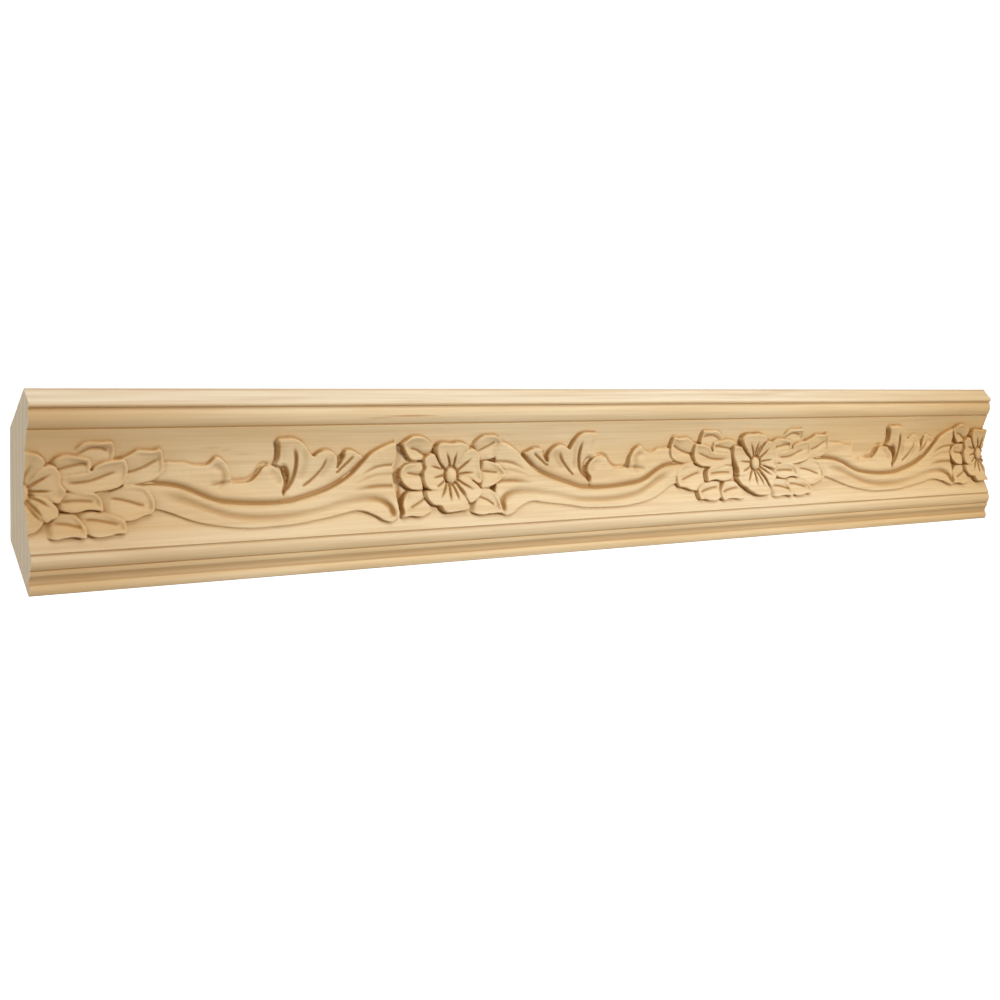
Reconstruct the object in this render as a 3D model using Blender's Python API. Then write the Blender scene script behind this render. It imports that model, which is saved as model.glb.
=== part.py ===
"""A 36 inch length of carved softwood crown moulding, one solid.

The piece stands on edge: its flat back is the plane Y = 0, its carved face looks along -Y, it runs along X
and +Z goes across the face. The origin is the middle of the flat back. On a building it is turned 45
degrees about X, so that the lower bevel lies on the wall and the upper bevel on the ceiling.

Face dimensions are in millimetres: u runs along the piece from its left end, v goes down from its top edge,
and depth comes forward from the back. The mesh is written in metres. The ornament is drawn once, as the
stretch of stem between a large and a small flower, and each following stretch shows it mirrored.
"""
import math

import bmesh
import bpy
import numpy as np
from mathutils import Vector

# Driving dimensions, millimetres
LENGTH = 914.4
FACE_HEIGHT = 120.65
TOP_BEVEL = 24.1            # the ceiling bevel's rise, the same as its depth at 45 degrees
BOTTOM_BEVEL = 29.3         # the wall bevel's rise, the same as its depth at 45 degrees
BOTTOM_EDGE_V = 120.0       # where the wall bevel ends and the rounded bottom edge starts
FIELD_TOP = 24.5
FIELD_TOP_DEPTH = 28.8
FIELD_BOTTOM = 95.6
FIELD_BOTTOM_DEPTH = 34.0
FIELD_SAG = 9.2             # how far the field's cove is hollowed behind its two edges
EDGE_WALL = 1.1             # how wide the steep side of a carved shape is
STOP_CUT = (0.5, 1.3)       # depth and width of the knife's cut into the ground beside a shape
SMALL_EDGE = 1.6            # radius that a leaf's, petal's or stem's rim is rounded to
WIDE_EDGE = 2.2             # the same for the hook, the lobe and the acanthus leaf
RIM_DROP = 0.82             # share of a full round that a rim is rounded to
GROOVE_RUNOUT = 0.2         # share of a groove's length that it runs out over, at each end
LEAF_VEIN = (1.5, 1.0)      # width and depth of a groove
LEAF_ROOT = (-0.2, 0.3)     # where a leaf comes out of its ground, as shares of its vein's length
PETAL_RISE = (2.2, 5.2)     # above the field, at the flower's middle and at the rim
PETAL_RUN = 19.0            # from the middle to where the rim's height is reached
PETAL_STEP = 0.1            # how much higher each petal lies than the one below it
DOME_SIZE = (5.0, 5.9)      # half width and half height
DOME_RISE = 5.2
DOME_SKIRT = 1.12           # the middle of the groove round the dome, as a share of its size
DOME_RING = (0.2, 1.5)      # that groove's width, in the same measure, and its depth
STEM_RISE = (3.8, 2.2)      # under the channel and at the lower edge
STEM_SLOPE = (0.45, 0.5)    # between the two, as shares of the stem's width
FAN_RISE = (4.1, 3.6)       # the same two rises at the wide end
FAN_SPREAD = (205, 25)      # where along the pattern the wide end starts, and how soon it is full
CHANNEL_WIDTH = (2.9, 2.0)  # above and below its deepest line
CHANNEL_DEPTH = 3.0
CHANNEL_START = (62, 12)    # place along the pattern, and the length it deepens over
CHANNEL_STOP = (249, 8)
FLUTE_SIZE = (3.0, 2.2)     # width and depth
HOOK_RISE = 2.4
HOOK_SWELL = (100, 24)      # where along the pattern it starts to rise more, and the length it takes
HOOK_UNDER = ((112, 8), (56, 8))    # the same where it runs in under the lobe, along and down
LOBE_RISE = 2.6
LOBE_SWELL = (134, 22)
LOBE_START = (104, 14)
SWELL_RISE = 1.4            # how much the hook and the lobe swell
ACANTHUS_RISE = (2.6, 4.6)  # at the stem and at the top
ACANTHUS_BACK = (40, 26)    # from the top down to the stem
CUT_RISE = 0.4              # share of the relief that is left at the left cut
CUT_RUN = 8.0               # how far from that cut the relief is whole
EDGE_MARGIN = 1.8           # how far in from the field's edges the relief is whole
PATTERN_START = -6.0
PATTERN_END = 303.0
BLEND = 5.0                 # half width that the stretches run into each other over
GRID_STEP = 1.2             # spacing of the surface grid before it is thinned
PATTERN_STEP = 0.6
FIELD_TRIANGLES = 8700      # of the carved field, once it is thinned
BAND_COLUMNS = 9            # rows of points across the plain bands
ARC_STEPS = 5
MM = 0.001

WOOD_COLOUR = (0.66, 0.50, 0.31, 1.0)
WOOD_ROUGHNESS = 0.62

# The moulded bands, as (v, depth, swell of the arc to the next point)
UPPER_BANDS = (
    (0.0, TOP_BEVEL, -0.4),         # slanting lip
    (7.8, 31.4, 0.8),               # its rounded nose
    (10.9, 31.0, 0.0),
    (11.4, 30.1, 2.0),              # ovolo
    (23.4, 28.7, 0.0),
    (23.9, 28.2, 0.0),              # quirk above the field
)
LOWER_BANDS = (
    (96.4, 33.2, 0.0),              # quirk below the field
    (97.0, 33.6, 1.4),              # bead
    (105.2, 33.0, 0.0),
    (105.8, 32.3, 0.0),
    (106.4, 32.7, 0.0),             # fillet
    (108.8, 32.4, -0.8),            # small cove
    (114.2, 30.5, 0.8),             # bottom bead
    (119.5, 31.4, 0.25),            # rounded bottom edge
    (FACE_HEIGHT, 30.3, 0.0),
    (BOTTOM_EDGE_V, BOTTOM_BEVEL, 0.0),
)

# Leaves as (outline, vein, rise at the base, rise at the tip), lowest leaf first. The large cluster is laid
# out in the stem pattern, the small one from the middle of its flower.
LARGE_LEAVES = (
    (((28.5, 37.5), (30, 34.3), (33, 31.5), (37, 30.2), (43, 30.4), (50.3, 30.1), (52.2, 32.8), (52.8, 36),
     (52.6, 41), (49, 45), (42, 47), (34, 46)), ((31, 38), (38, 34.2), (44, 34), (48.5, 35.6)), 2.0, 3.0),
    (((50, 45), (55, 41), (60, 38.9), (63.5, 36.9), (67, 35.5), (71, 35.8), (76, 35.9), (80.8, 34.9),
     (82.7, 38), (84, 43.5), (83.8, 48.5), (82, 52.5), (77, 55.8), (70, 57.6), (60, 58), (52, 55)),
     ((58, 50.5), (62, 49.4), (67, 48.1), (72, 46.1), (76, 43.9), (80.3, 41.5)), 2.4, 3.6),
    (((44, 63), (50, 61.5), (54.5, 59.8), (58, 58.2), (63, 57.9), (68.5, 58.6), (71.8, 59.6), (74, 62),
     (76, 65.3), (77.5, 69.5), (77.3, 74), (75.5, 76.6), (70, 77.8), (64, 79.9), (58, 80.5), (50, 78),
     (44, 72)), ((50, 66), (56, 67), (62, 68.6), (67, 70.3), (71.5, 71.5)), 2.4, 3.7),
    (((29, 75), (35, 73.3), (40, 72.9), (45, 73.8), (50, 75.3), (54, 77), (57.5, 79.3), (58.5, 82),
     (58, 86), (56, 87.5), (52, 87.3), (47, 88.5), (41, 88.9), (37, 87.8), (34.5, 86.5), (30, 83)),
     ((34, 78), (41, 78.6), (47, 79.9), (54, 81.8)), 2.8, 3.9),
    (((7, 82), (11, 79.8), (15, 77), (19, 74), (24, 73.6), (29.3, 74.3), (31.7, 77), (34, 80.5), (35, 84.5),
     (34.5, 88), (32, 88.9), (28, 87.9), (22, 88), (17, 88.9), (12, 88), (8.5, 86)), ((15, 79.2),
     (20, 79.6), (25, 80.4), (29, 81.6), (31.8, 82.3)), 3.0, 4.1),
    (((14, 64), (22, 61), (30, 60.5), (38, 61), (42.5, 62.2), (45, 65.3), (46, 69), (45.6, 73.8), (41, 73),
     (36, 72.8), (31, 74), (26, 73.9), (21, 72.4), (16, 70)), ((21, 67.2), (28, 66.8), (34, 66.9),
     (41, 67.6)), 3.2, 4.4),
    (((9, 46), (13.5, 42.3), (16.5, 40), (20.5, 38.1), (25, 37.5), (30, 38.2), (35, 39.2), (38.2, 40.2),
     (39.4, 43), (39.6, 48.5), (38, 55), (30, 60), (18, 60)), ((18, 47), (22, 45.7), (28, 44.4), (33, 43.4),
     (37, 43.4)), 3.2, 4.0),
    (((22, 52), (29, 50), (36, 49), (39.3, 47.5), (41, 44.8), (44.5, 42.8), (49, 41.6), (54, 40.9),
     (58.3, 41), (60.2, 44.5), (60.8, 49.5), (59.8, 54.3), (57, 58.3), (52.5, 60.6), (46, 61.8), (36, 62.5),
     (26, 61)), ((25, 55), (31, 55.3), (38, 54.6), (43, 53.1), (48, 50.9), (54, 48.9)), 3.3, 4.7),
)
SMALL_LEAVES = (
    (((-42.5, -23.8), (-40, -26.5), (-35.5, -29), (-30.5, -29.6), (-24.5, -28.5), (-19.5, -26), (-14, -21),
     (-10, -12), (-18, -10.4), (-24.5, -11.8), (-28.5, -11.5), (-32.5, -11.7), (-35.8, -13.7),
     (-38.8, -17.5)), ((-20, -14.8), (-25, -17.3), (-29.5, -19.8), (-35, -21)), 3.2, 3.9),
    (((-44.5, 27.7), (-43.3, 24), (-43.3, 19.5), (-42, 15.7), (-39.5, 12.2), (-36, 10.3), (-30, 10),
     (-22, 10), (-12, 12), (-13, 19), (-18.5, 23.8), (-23.5, 26.3), (-29.5, 27.8), (-37.5, 27)),
     ((-23, 15.5), (-29, 18.6), (-36, 21.5)), 3.2, 3.8),
    (((-43.7, -2), (-42.7, -5.5), (-39.5, -9), (-35.5, -10.4), (-29.5, -10.8), (-22, -10.5), (-12, -6),
     (-12, 6), (-22, 9.7), (-31.5, 9.7), (-36.5, 8.2), (-40.5, 5), (-43, 1)), ((-23, -1.2), (-29.5, -1.6),
     (-36.5, -3)), 3.4, 4.2),
    (((14, -18), (18, -23), (21.5, -26.5), (26, -28.7), (32, -29.2), (37.5, -28.6), (41.3, -26.5),
     (42.8, -23.3), (41, -19.5), (39, -16), (37.8, -12.8), (35.5, -11.2), (27, -10.4), (16, -11)),
     ((22, -17), (28.5, -19.8), (33.5, -22), (37, -24.3)), 3.2, 4.0),
    (((14, 12), (24, 10.2), (30, 10), (34.5, 11.2), (38, 14.7), (40, 18.7), (40.8, 23.7), (40.8, 28),
     (35, 28.3), (28.5, 28.5), (21.5, 28.9), (15.5, 27.2), (11.5, 24.7), (12, 18)), ((21, 15.5), (27, 17.5),
     (31, 19.2), (35.5, 22.8)), 3.2, 4.0),
    (((16, -9), (25, -10.3), (31, -10.6), (36, -9.8), (40.5, -7.8), (44.5, -4.8), (47.3, -1.2), (47.3, 1.5),
     (44.5, 4.2), (40.5, 6.8), (36.5, 8.8), (31, 10.4), (24, 10.4), (16, 8)), ((27, -2.4), (33, -1.6),
     (41, -0.7)), 3.4, 4.3),
)

# Outlines of the petals from the flower's middle, lowest petal first
CUT_PETALS = (
    ((-4, 4), (-9, 12), (-6, 22), (-1, 24.3), (4, 24.2), (8, 22.5), (11.2, 19.5), (12.6, 16.5), (10.5, 11),
     (5, 3)),
    ((-1, -3), (-5, -12), (-6, -21), (-2, -25.3), (3, -25.6), (7.5, -25), (11.5, -23.4), (13.6, -20.8),
     (14.2, -18), (11, -12), (4, -3)),
    ((2.6, -3), (4.8, -8.5), (7.5, -12.8), (11.5, -16.2), (15.5, -18), (19.5, -17.2), (22.5, -14.2),
     (24, -10), (24.3, -5), (27, -1), (26.5, 2.4), (24, 5.8), (20.5, 7.5), (13, 4), (4, 0.5)),
    ((3, 2), (8.5, 1.5), (13.5, 2.5), (17.6, 5), (21, 8.5), (21.8, 12), (20.4, 15), (16.5, 16.8), (13, 18),
     (9, 14), (3.5, 5)),
)
SMALL_PETALS = (
    ((-2, 4), (-9, 8), (-15, 9.5), (-22, 10), (-23.3, 13), (-22.6, 16), (-20, 19), (-16.5, 20.8),
     (-12.5, 21.3), (-11, 24), (-8, 26), (-4, 26.2), (2, 25.7), (8, 25.3), (12, 24.3), (13, 21), (11.5, 17),
     (7.5, 11), (3, 4)),
    ((-3, -3), (-9, -8), (-13, -14), (-15.5, -17.2), (-20.5, -16.4), (-24, -13.5), (-24.4, -10),
     (-23.2, -6.5), (-24.8, -2.5), (-24.8, 2.5), (-22.8, 7.3), (-19, 10.2), (-13, 10.6), (-7.5, 9.4),
     (-3, 4)),
    ((-2, -3), (-6.5, -6.5), (-11, -11), (-13.7, -16), (-14.6, -20.5), (-12.5, -23.9), (-7, -24.7),
     (-1, -24.1), (4, -24.7), (9.5, -24), (14, -21), (12, -14), (3, -4)),
    ((2, -4), (5, -8.5), (6.3, -13), (9.5, -17), (13.5, -19.4), (17.5, -20.2), (21, -18), (23.8, -14.5),
     (24.2, -9.5), (24.8, -5), (26.3, 0), (26.4, 4), (23.8, 7.4), (17, 4.5), (10, 2.5), (3, 1)),
    ((3, 2), (8, 1.2), (13, 1.8), (17.5, 3.9), (21.5, 7), (24.3, 10.5), (24.2, 14), (20.5, 17.6),
     (15, 20.2), (11.7, 19.6), (8, 13), (3.5, 6)),
)
LARGE_PETALS = (
    ((-2, 4), (-10, 7), (-18, 8), (-22.5, 10), (-22.7, 13), (-20, 17.5), (-15, 20), (-12, 22.5), (-8, 24.5),
     (-4, 26.3), (2, 27), (8, 26.8), (12, 25.5), (13, 21), (10, 14), (6, 9), (3, 4)),
    ((-3, -3), (-9, -7), (-14, -11.5), (-17.5, -16), (-22, -17), (-26.6, -16.6), (-28, -13), (-27.3, -7),
     (-24.5, -1), (-22.3, 5), (-22.4, 10), (-17, 11), (-10, 9.5), (-3, 4)),
    ((-2, -3), (-8, -8), (-13, -13), (-17, -18.5), (-18.8, -23), (-16, -26), (-10, -27.2), (-4, -27),
     (2, -27.3), (7.6, -25.6), (11.3, -22.4), (9, -19), (6.4, -15), (2.5, -4)),
    ((2, -4), (4, -10), (6.4, -15.5), (10, -19.4), (15, -20.6), (19, -19.6), (22, -16), (23.5, -10),
     (24.5, -4), (25.5, 2), (23, 6), (17, 5), (10, 3), (3, 1)),
    ((3, 2), (8, 2), (13, 4), (18, 7), (21.5, 9.5), (22, 12.5), (18, 17), (13.5, 20.5), (11, 17), (7, 11),
     (3, 6)),
)
FLOWERS = (                     # middle, petals and leaves
    ((-2.5, 60.8), CUT_PETALS, ()),
    ((302.0, 60.0), SMALL_PETALS, SMALL_LEAVES),
    ((607.5, 60.0), LARGE_PETALS, ()),
    ((908.0, 59.5), SMALL_PETALS, SMALL_LEAVES),
)

# The stem pattern, as (u, v) in the first stretch
CHANNEL = ((60, 57), (78, 57.6), (90, 59.2), (100, 62.4), (110, 67), (120, 70.5), (130, 72),
           (145, 73.2), (160, 73.6), (172, 73), (180, 71.4), (190, 69), (200, 65.6), (208, 61.4),
           (216, 55.8), (224, 48), (230, 42), (236, 38.4), (243, 35.6), (252, 33))
LOWER_EDGE = ((60, 72), (78, 74.3), (84, 75.8), (90, 78), (100, 82), (110, 84.8), (120, 86.6), (130, 88),
              (140, 88.8), (150, 88.8), (160, 88.6), (170, 88.3), (180, 87.3), (190, 86), (200, 84.6),
              (210, 82.9), (217, 81.6), (223, 81.9), (228, 83.3), (234, 85.8), (238, 88.3), (242, 89.7),
              (246, 90), (250, 88.3))
STEM_END = ((252.5, 36.5), (253.9, 42), (251.3, 50), (250.7, 57), (251.6, 64), (251.5, 69), (253.4, 74),
            (254.4, 79), (253.9, 84), (252.4, 87))
FLUTE = ((74, 63), (84, 66), (92, 68), (100, 70.4), (110, 74.2), (120, 78), (130, 80.4), (145, 82),
         (160, 82.3), (175, 81.5), (190, 79.5), (205, 76.5), (218, 74.4), (230, 73.6), (240, 75.4),
         (246, 79.6), (247.5, 85))
HOOK = ((60, 50), (84, 43.8), (90, 43.8), (98, 44), (104, 46), (110, 46.4), (114, 45), (117.6, 41.4),
        (120.5, 41.3), (123.5, 43), (126.5, 46.5), (128.6, 51), (129.6, 56), (129.6, 61), (128, 75),
        (112, 72), (100, 66), (85, 63), (60, 62))
LOBE = ((100, 64), (112, 62), (124, 58.8), (135, 58.8), (141, 58.5), (145, 56), (148, 52.5), (150, 49.5),
        (152.5, 47.9), (156, 47.7), (160, 48.2), (163.3, 50.5), (166.2, 54), (168, 58), (168.5, 62),
        (166, 66), (168, 78), (150, 79), (130, 77), (112, 72), (100, 68))
ACANTHUS = ((161, 48), (162.2, 42), (161.8, 36), (160.6, 31), (165, 30.2), (170, 29.9), (175, 30.6),
            (180, 33), (184, 37), (187.3, 41.3), (188.8, 42.4), (190.2, 41), (194, 39), (198, 38.4),
            (202, 39.6), (205, 43), (206.4, 47), (205.9, 51.3), (207.2, 48.4), (209.4, 44), (210.7, 39.6),
            (215, 38.8), (219, 40), (222.5, 42), (226, 45), (218, 57), (208, 66), (194, 74), (172, 78),
            (164, 76), (168, 66), (170.2, 60), (169.8, 54), (167, 50))
ACANTHUS_VEINS = (              # line, width and depth
    (((173.4, 36), (175.4, 42), (176, 48), (175.3, 54), (173.4, 59.5), (170, 64), (165, 67)), 1.7, 2.5),
    (((197.7, 43.3), (195.6, 50), (191, 56), (186, 60.6), (181, 64)), 1.4, 1.8),
    (((217.7, 42.8), (213, 47.5), (209, 51.5), (205, 55.5)), 1.4, 1.8),
)

# Places along the piece and the place in the stem pattern that each one shows
STRETCHES = ((-10, -10), (35, 35), (62.3, 60), (86.6, 84), (132.8, 129.6), (153.5, 150), (163.8, 161),
             (177, 175), (201, 197.7), (217.3, 213), (255.3, 252.5), (301.2, 301.5), (338.5, 252.5),
             (381.5, 211), (399.5, 197.7), (411, 186), (417.5, 175), (427, 168), (433, 161), (449, 147),
             (467.5, 129.6), (481.5, 117.6), (510.5, 84), (536.3, 60), (550, 46), (562.5, 35),
             (607.5, -2.5), (646, 34.5), (661, 50), (674, 60.5), (692, 79), (704, 90), (716.5, 101),
             (725.5, 110.5), (735, 120), (742, 127), (762, 150), (773, 161), (783, 167), (789.5, 175),
             (832, 216), (866, 251.5), (908, 301.5), (925, 284))

# How much further down the carving lies than it is drawn: all upper shapes, and places with their reach
TOP_DROP = 1.6
TOP_DROP_RUN = (44, 24)         # from v 44 down to 68 it eases off
NUDGES = (((598, 34), (95, 17), 1.5), ((380, 40), (17, 11), 2.3), ((433, 48), (9, 8), 1.2),
          ((853, 89), (12, 8), -4.0))
# Parts of the third stretch that are cut flatter: from u, to u, down to v, and the share of relief left
FLATTENED = ((727, 746, 57, 0.0), (796, 838, 50, 0.45))
FLATTEN_RUN = 4.0               # how far their edges ease in


def ramp(x, start, length):
    """0 up to start, 1 from a length beyond it, and an eased slope between."""
    t = np.clip((x - start) / length, 0.0, 1.0)
    return t * t * (3.0 - 2.0 * t)


def smooth_path(points, closed=False, steps=4):
    """Catmull-Rom curve through a few points, as an array of (u, v)."""
    points = np.asarray(points, dtype=float)
    count = len(points)
    curve = []
    for i in range(count if closed else count - 1):
        if closed:
            before, start, end, after = (points[(i + k) % count] for k in (-1, 0, 1, 2))
        else:
            before, after = points[max(i - 1, 0)], points[min(i + 2, count - 1)]
            start, end = points[i], points[i + 1]
        for step in range(steps):
            t = step / steps
            square = 2 * before - 5 * start + 4 * end - after
            cube = 3 * start - before - 3 * end + after
            curve.append(0.5 * (2 * start + (end - before) * t + square * t ** 2 + cube * t ** 3))
    if not closed:
        curve.append(points[-1])
    return np.array(curve)


def path_distance(u, v, path, closed):
    """Distance to a path, how far along it that is (0 to 1), and which points a closed path holds."""
    nearest = np.full(u.shape, 1e9)
    along = np.zeros(u.shape)
    inside = np.zeros(u.shape, dtype=bool)
    count = len(path) if closed else len(path) - 1
    for i in range(count):
        a, b = path[i], path[(i + 1) % len(path)]
        run = b - a
        t = np.clip(((u - a[0]) * run[0] + (v - a[1]) * run[1]) / max(run @ run, 1e-9), 0.0, 1.0)
        away = np.hypot(u - a[0] - t * run[0], v - a[1] - t * run[1])
        closer = away < nearest
        nearest = np.where(closer, away, nearest)
        along = np.where(closer, (i + t) / count, along)
        if closed and a[1] != b[1]:
            crosses = (a[1] > v) != (b[1] > v)
            inside ^= crosses & (u < a[0] + (v - a[1]) * run[0] / run[1])
    return nearest, along, inside


class Carving:
    """Height of the carving above the field's cove, on a grid of places (u, v)."""

    def __init__(self, u, v):
        self.u, self.v = np.meshgrid(u, v)
        self.rise = np.zeros(self.u.shape)

    def window(self, path, margin):
        """Slices of the grid around a path."""
        low, high = path.min(axis=0) - margin, path.max(axis=0) + margin
        rows = np.flatnonzero((self.v[:, 0] >= low[1]) & (self.v[:, 0] <= high[1]))
        columns = np.flatnonzero((self.u[0] >= low[0]) & (self.u[0] <= high[0]))
        if not len(rows) or not len(columns):
            return None
        return slice(rows[0], rows[-1] + 1), slice(columns[0], columns[-1] + 1)

    def raise_shape(self, outline, height, round_edge, fade=None):
        """Lays a shape over the carving. Its height and fade are functions of (u, v)."""
        window = self.window(outline, 4.0)
        if window is None:
            return
        u, v = self.u[window], self.v[window]
        away, _, inside = path_distance(u, v, outline, closed=True)
        show = 1.0 if fade is None else fade(u, v)
        below = self.rise[window] - np.where(inside, 0.0, STOP_CUT[0] * show * np.exp(-away / STOP_CUT[1]))
        roll = 1.0 - np.clip(away / round_edge, 0.0, 1.0)
        crown = np.sqrt(1.0 - RIM_DROP * roll ** 2)
        cover = np.where(inside, ramp(away, 0.0, EDGE_WALL), 0.0) * show
        self.rise[window] = below * (1.0 - cover) + height(u, v) * crown * cover

    def cut_groove(self, path, width, depth):
        """Cuts a round groove along a path that runs out at both its ends."""
        window = self.window(path, 2.5 * width)
        if window is None:
            return
        away, along, _ = path_distance(self.u[window], self.v[window], path, closed=False)
        fade = ramp(along, 0.0, GROOVE_RUNOUT) * ramp(1.0 - along, 0.0, GROOVE_RUNOUT)
        self.rise[window] -= depth * fade * np.exp(-(away / width) ** 2)


def carve_leaf(carving, origin, leaf):
    """One leaf with its middle vein."""
    outline, vein, start_rise, end_rise = leaf
    outline = smooth_path(np.array(outline) + origin, closed=True)
    vein = smooth_path(np.array(vein) + origin)
    base, axis = vein[0], vein[-1] - vein[0]

    def along(u, v):
        return ((u - base[0]) * axis[0] + (v - base[1]) * axis[1]) / (axis @ axis)

    def height(u, v):
        return start_rise + (end_rise - start_rise) * ramp(along(u, v), 0.0, 1.0)

    carving.raise_shape(outline, height, SMALL_EDGE, lambda u, v: ramp(along(u, v), *LEAF_ROOT))
    carving.cut_groove(vein, *LEAF_VEIN)


def line_height(path, u):
    """The v of a line that runs along the piece, at each u."""
    return np.interp(u, path[:, 0], path[:, 1])


def carve_stem(carving):
    """The hook, lobe and acanthus leaf, and below them the stem with its channel and flute."""
    channel, lower = smooth_path(CHANNEL), smooth_path(LOWER_EDGE)
    carving.raise_shape(smooth_path(LOBE, closed=True),
                        lambda u, v: LOBE_RISE + SWELL_RISE * ramp(u, *LOBE_SWELL), WIDE_EDGE,
                        lambda u, v: ramp(u, *LOBE_START))
    carving.raise_shape(smooth_path(HOOK, closed=True),
                        lambda u, v: HOOK_RISE + SWELL_RISE * ramp(u, *HOOK_SWELL), WIDE_EDGE,
                        lambda u, v: 1.0 - ramp(u, *HOOK_UNDER[0]) * ramp(v, *HOOK_UNDER[1]))
    low, high = ACANTHUS_RISE
    carving.raise_shape(smooth_path(ACANTHUS, closed=True),
                        lambda u, v: high + (low - high) * ramp(v, *ACANTHUS_BACK), WIDE_EDGE)
    for path, width, depth in ACANTHUS_VEINS:
        carving.cut_groove(smooth_path(path), width, depth)

    def stem_height(u, v):
        top, bottom = line_height(channel, u), line_height(lower, u)
        slope = ramp((v - top) / np.maximum(bottom - top, 1.0), *STEM_SLOPE)
        stem, wide = (ends[0] + (ends[1] - ends[0]) * slope for ends in (STEM_RISE, FAN_RISE))
        return stem + (wide - stem) * ramp(u, *FAN_SPREAD)

    carving.raise_shape(np.vstack((channel, STEM_END, lower[::-1])), stem_height, SMALL_EDGE)
    over = line_height(channel, carving.u) - carving.v
    over = over / np.hypot(1.0, np.gradient(line_height(channel, carving.u[0]), carving.u[0]))
    reach = np.where(over > 0, CHANNEL_WIDTH[0], CHANNEL_WIDTH[1])
    in_run = ramp(carving.u, *CHANNEL_START) * (1.0 - ramp(carving.u, *CHANNEL_STOP))
    cut = CHANNEL_DEPTH * in_run * np.exp(-(over / reach) ** 2)
    carving.rise -= np.minimum(cut, np.maximum(carving.rise, 0.0))
    carving.cut_groove(smooth_path(FLUTE), *FLUTE_SIZE)


def carve_flower(carving, centre, petals):
    """Overlapping petals round a low dome."""
    centre = np.array(centre)
    inner, outer = PETAL_RISE
    for order, outline in enumerate(petals):
        rim = outer + PETAL_STEP * order

        def height(u, v):
            away = np.hypot(u - centre[0], v - centre[1])
            return inner + (rim - inner) * ramp(away, 0.0, PETAL_RUN)

        carving.raise_shape(smooth_path(np.array(outline) + centre, closed=True), height, SMALL_EDGE)
    away = np.hypot((carving.u - centre[0]) / DOME_SIZE[0], (carving.v - centre[1]) / DOME_SIZE[1])
    ring = DOME_RING[1] * np.exp(-((away - DOME_SKIRT) / DOME_RING[0]) ** 2)
    dome = DOME_RISE * np.sqrt(np.clip(1.0 - (away / DOME_SKIRT) ** 2, 0.0, 1.0))
    carving.rise = np.where(away < 1.0, dome, carving.rise - ring)


def arc_points(start, end, swell):
    """Points from start up to but not including end, on an arc that swells forward by the given amount."""
    if swell == 0.0:
        return [start]
    chord = math.dist(start, end)
    normal = (-(end[1] - start[1]) / chord, (end[0] - start[0]) / chord)
    points = []
    for step in range(ARC_STEPS):
        t = step / ARC_STEPS
        push = swell * 4 * t * (1 - t)
        points.append((start[0] + (end[0] - start[0]) * t + normal[0] * push,
                       start[1] + (end[1] - start[1]) * t + normal[1] * push))
    return points


def band_points(bands, last):
    """Profile points of a row of moulded bands, closing at the point last."""
    points = []
    for band, after in zip(bands, bands[1:] + (last,)):
        points += arc_points(band[:2], after[:2], band[2])
    return points


def field_depth(v):
    """Depth of the plain cove behind the carving."""
    t = (v - FIELD_TOP) / (FIELD_BOTTOM - FIELD_TOP)
    chord = FIELD_TOP_DEPTH + (FIELD_BOTTOM_DEPTH - FIELD_TOP_DEPTH) * t
    return chord - FIELD_SAG * 4 * t * (1 - t)


def carved_field(u, v):
    """Depth of the carved field at every place of the grid."""
    pattern_u = np.arange(PATTERN_START, PATTERN_END, PATTERN_STEP)
    pattern = Carving(pattern_u, v)
    carve_stem(pattern)
    for leaf in LARGE_LEAVES:
        carve_leaf(pattern, (0.0, 0.0), leaf)
    shown, drawn = np.array(STRETCHES, dtype=float).T
    along = np.mean([np.interp(u + shift, shown, drawn) for shift in np.linspace(-BLEND, BLEND, 9)], axis=0)
    carving = Carving(u, v)
    carving.rise = np.array([np.interp(along, pattern_u, row) for row in pattern.rise])
    for start, end, lowest, share in FLATTENED:
        part = (ramp(carving.u, start, FLATTEN_RUN) * (1.0 - ramp(carving.u, end - FLATTEN_RUN, FLATTEN_RUN))
                * (1.0 - ramp(carving.v, lowest - FLATTEN_RUN, FLATTEN_RUN)))
        carving.rise *= 1.0 - (1.0 - share) * part
    for centre, petals, leaves in FLOWERS:
        for leaf in leaves:
            carve_leaf(carving, centre, leaf)
        carve_flower(carving, centre, petals)
    down = TOP_DROP * (1.0 - ramp(carving.v, *TOP_DROP_RUN))
    for middle, reach, shift in NUDGES:
        along, across = (carving.u - middle[0]) / reach[0], (carving.v - middle[1]) / reach[1]
        down += shift * np.exp(-along ** 2 - across ** 2)
    columns = zip((carving.v - down).T, carving.rise.T)
    carving.rise = np.array([np.interp(lifted, v, column) for lifted, column in columns]).T
    carving.rise *= CUT_RISE + (1.0 - CUT_RISE) * ramp(u, 0.0, CUT_RUN)
    margin = ramp(v, FIELD_TOP, EDGE_MARGIN) * ramp(FIELD_BOTTOM - v, 0.0, EDGE_MARGIN)
    return field_depth(v)[:, None] + carving.rise * margin[:, None]


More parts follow.
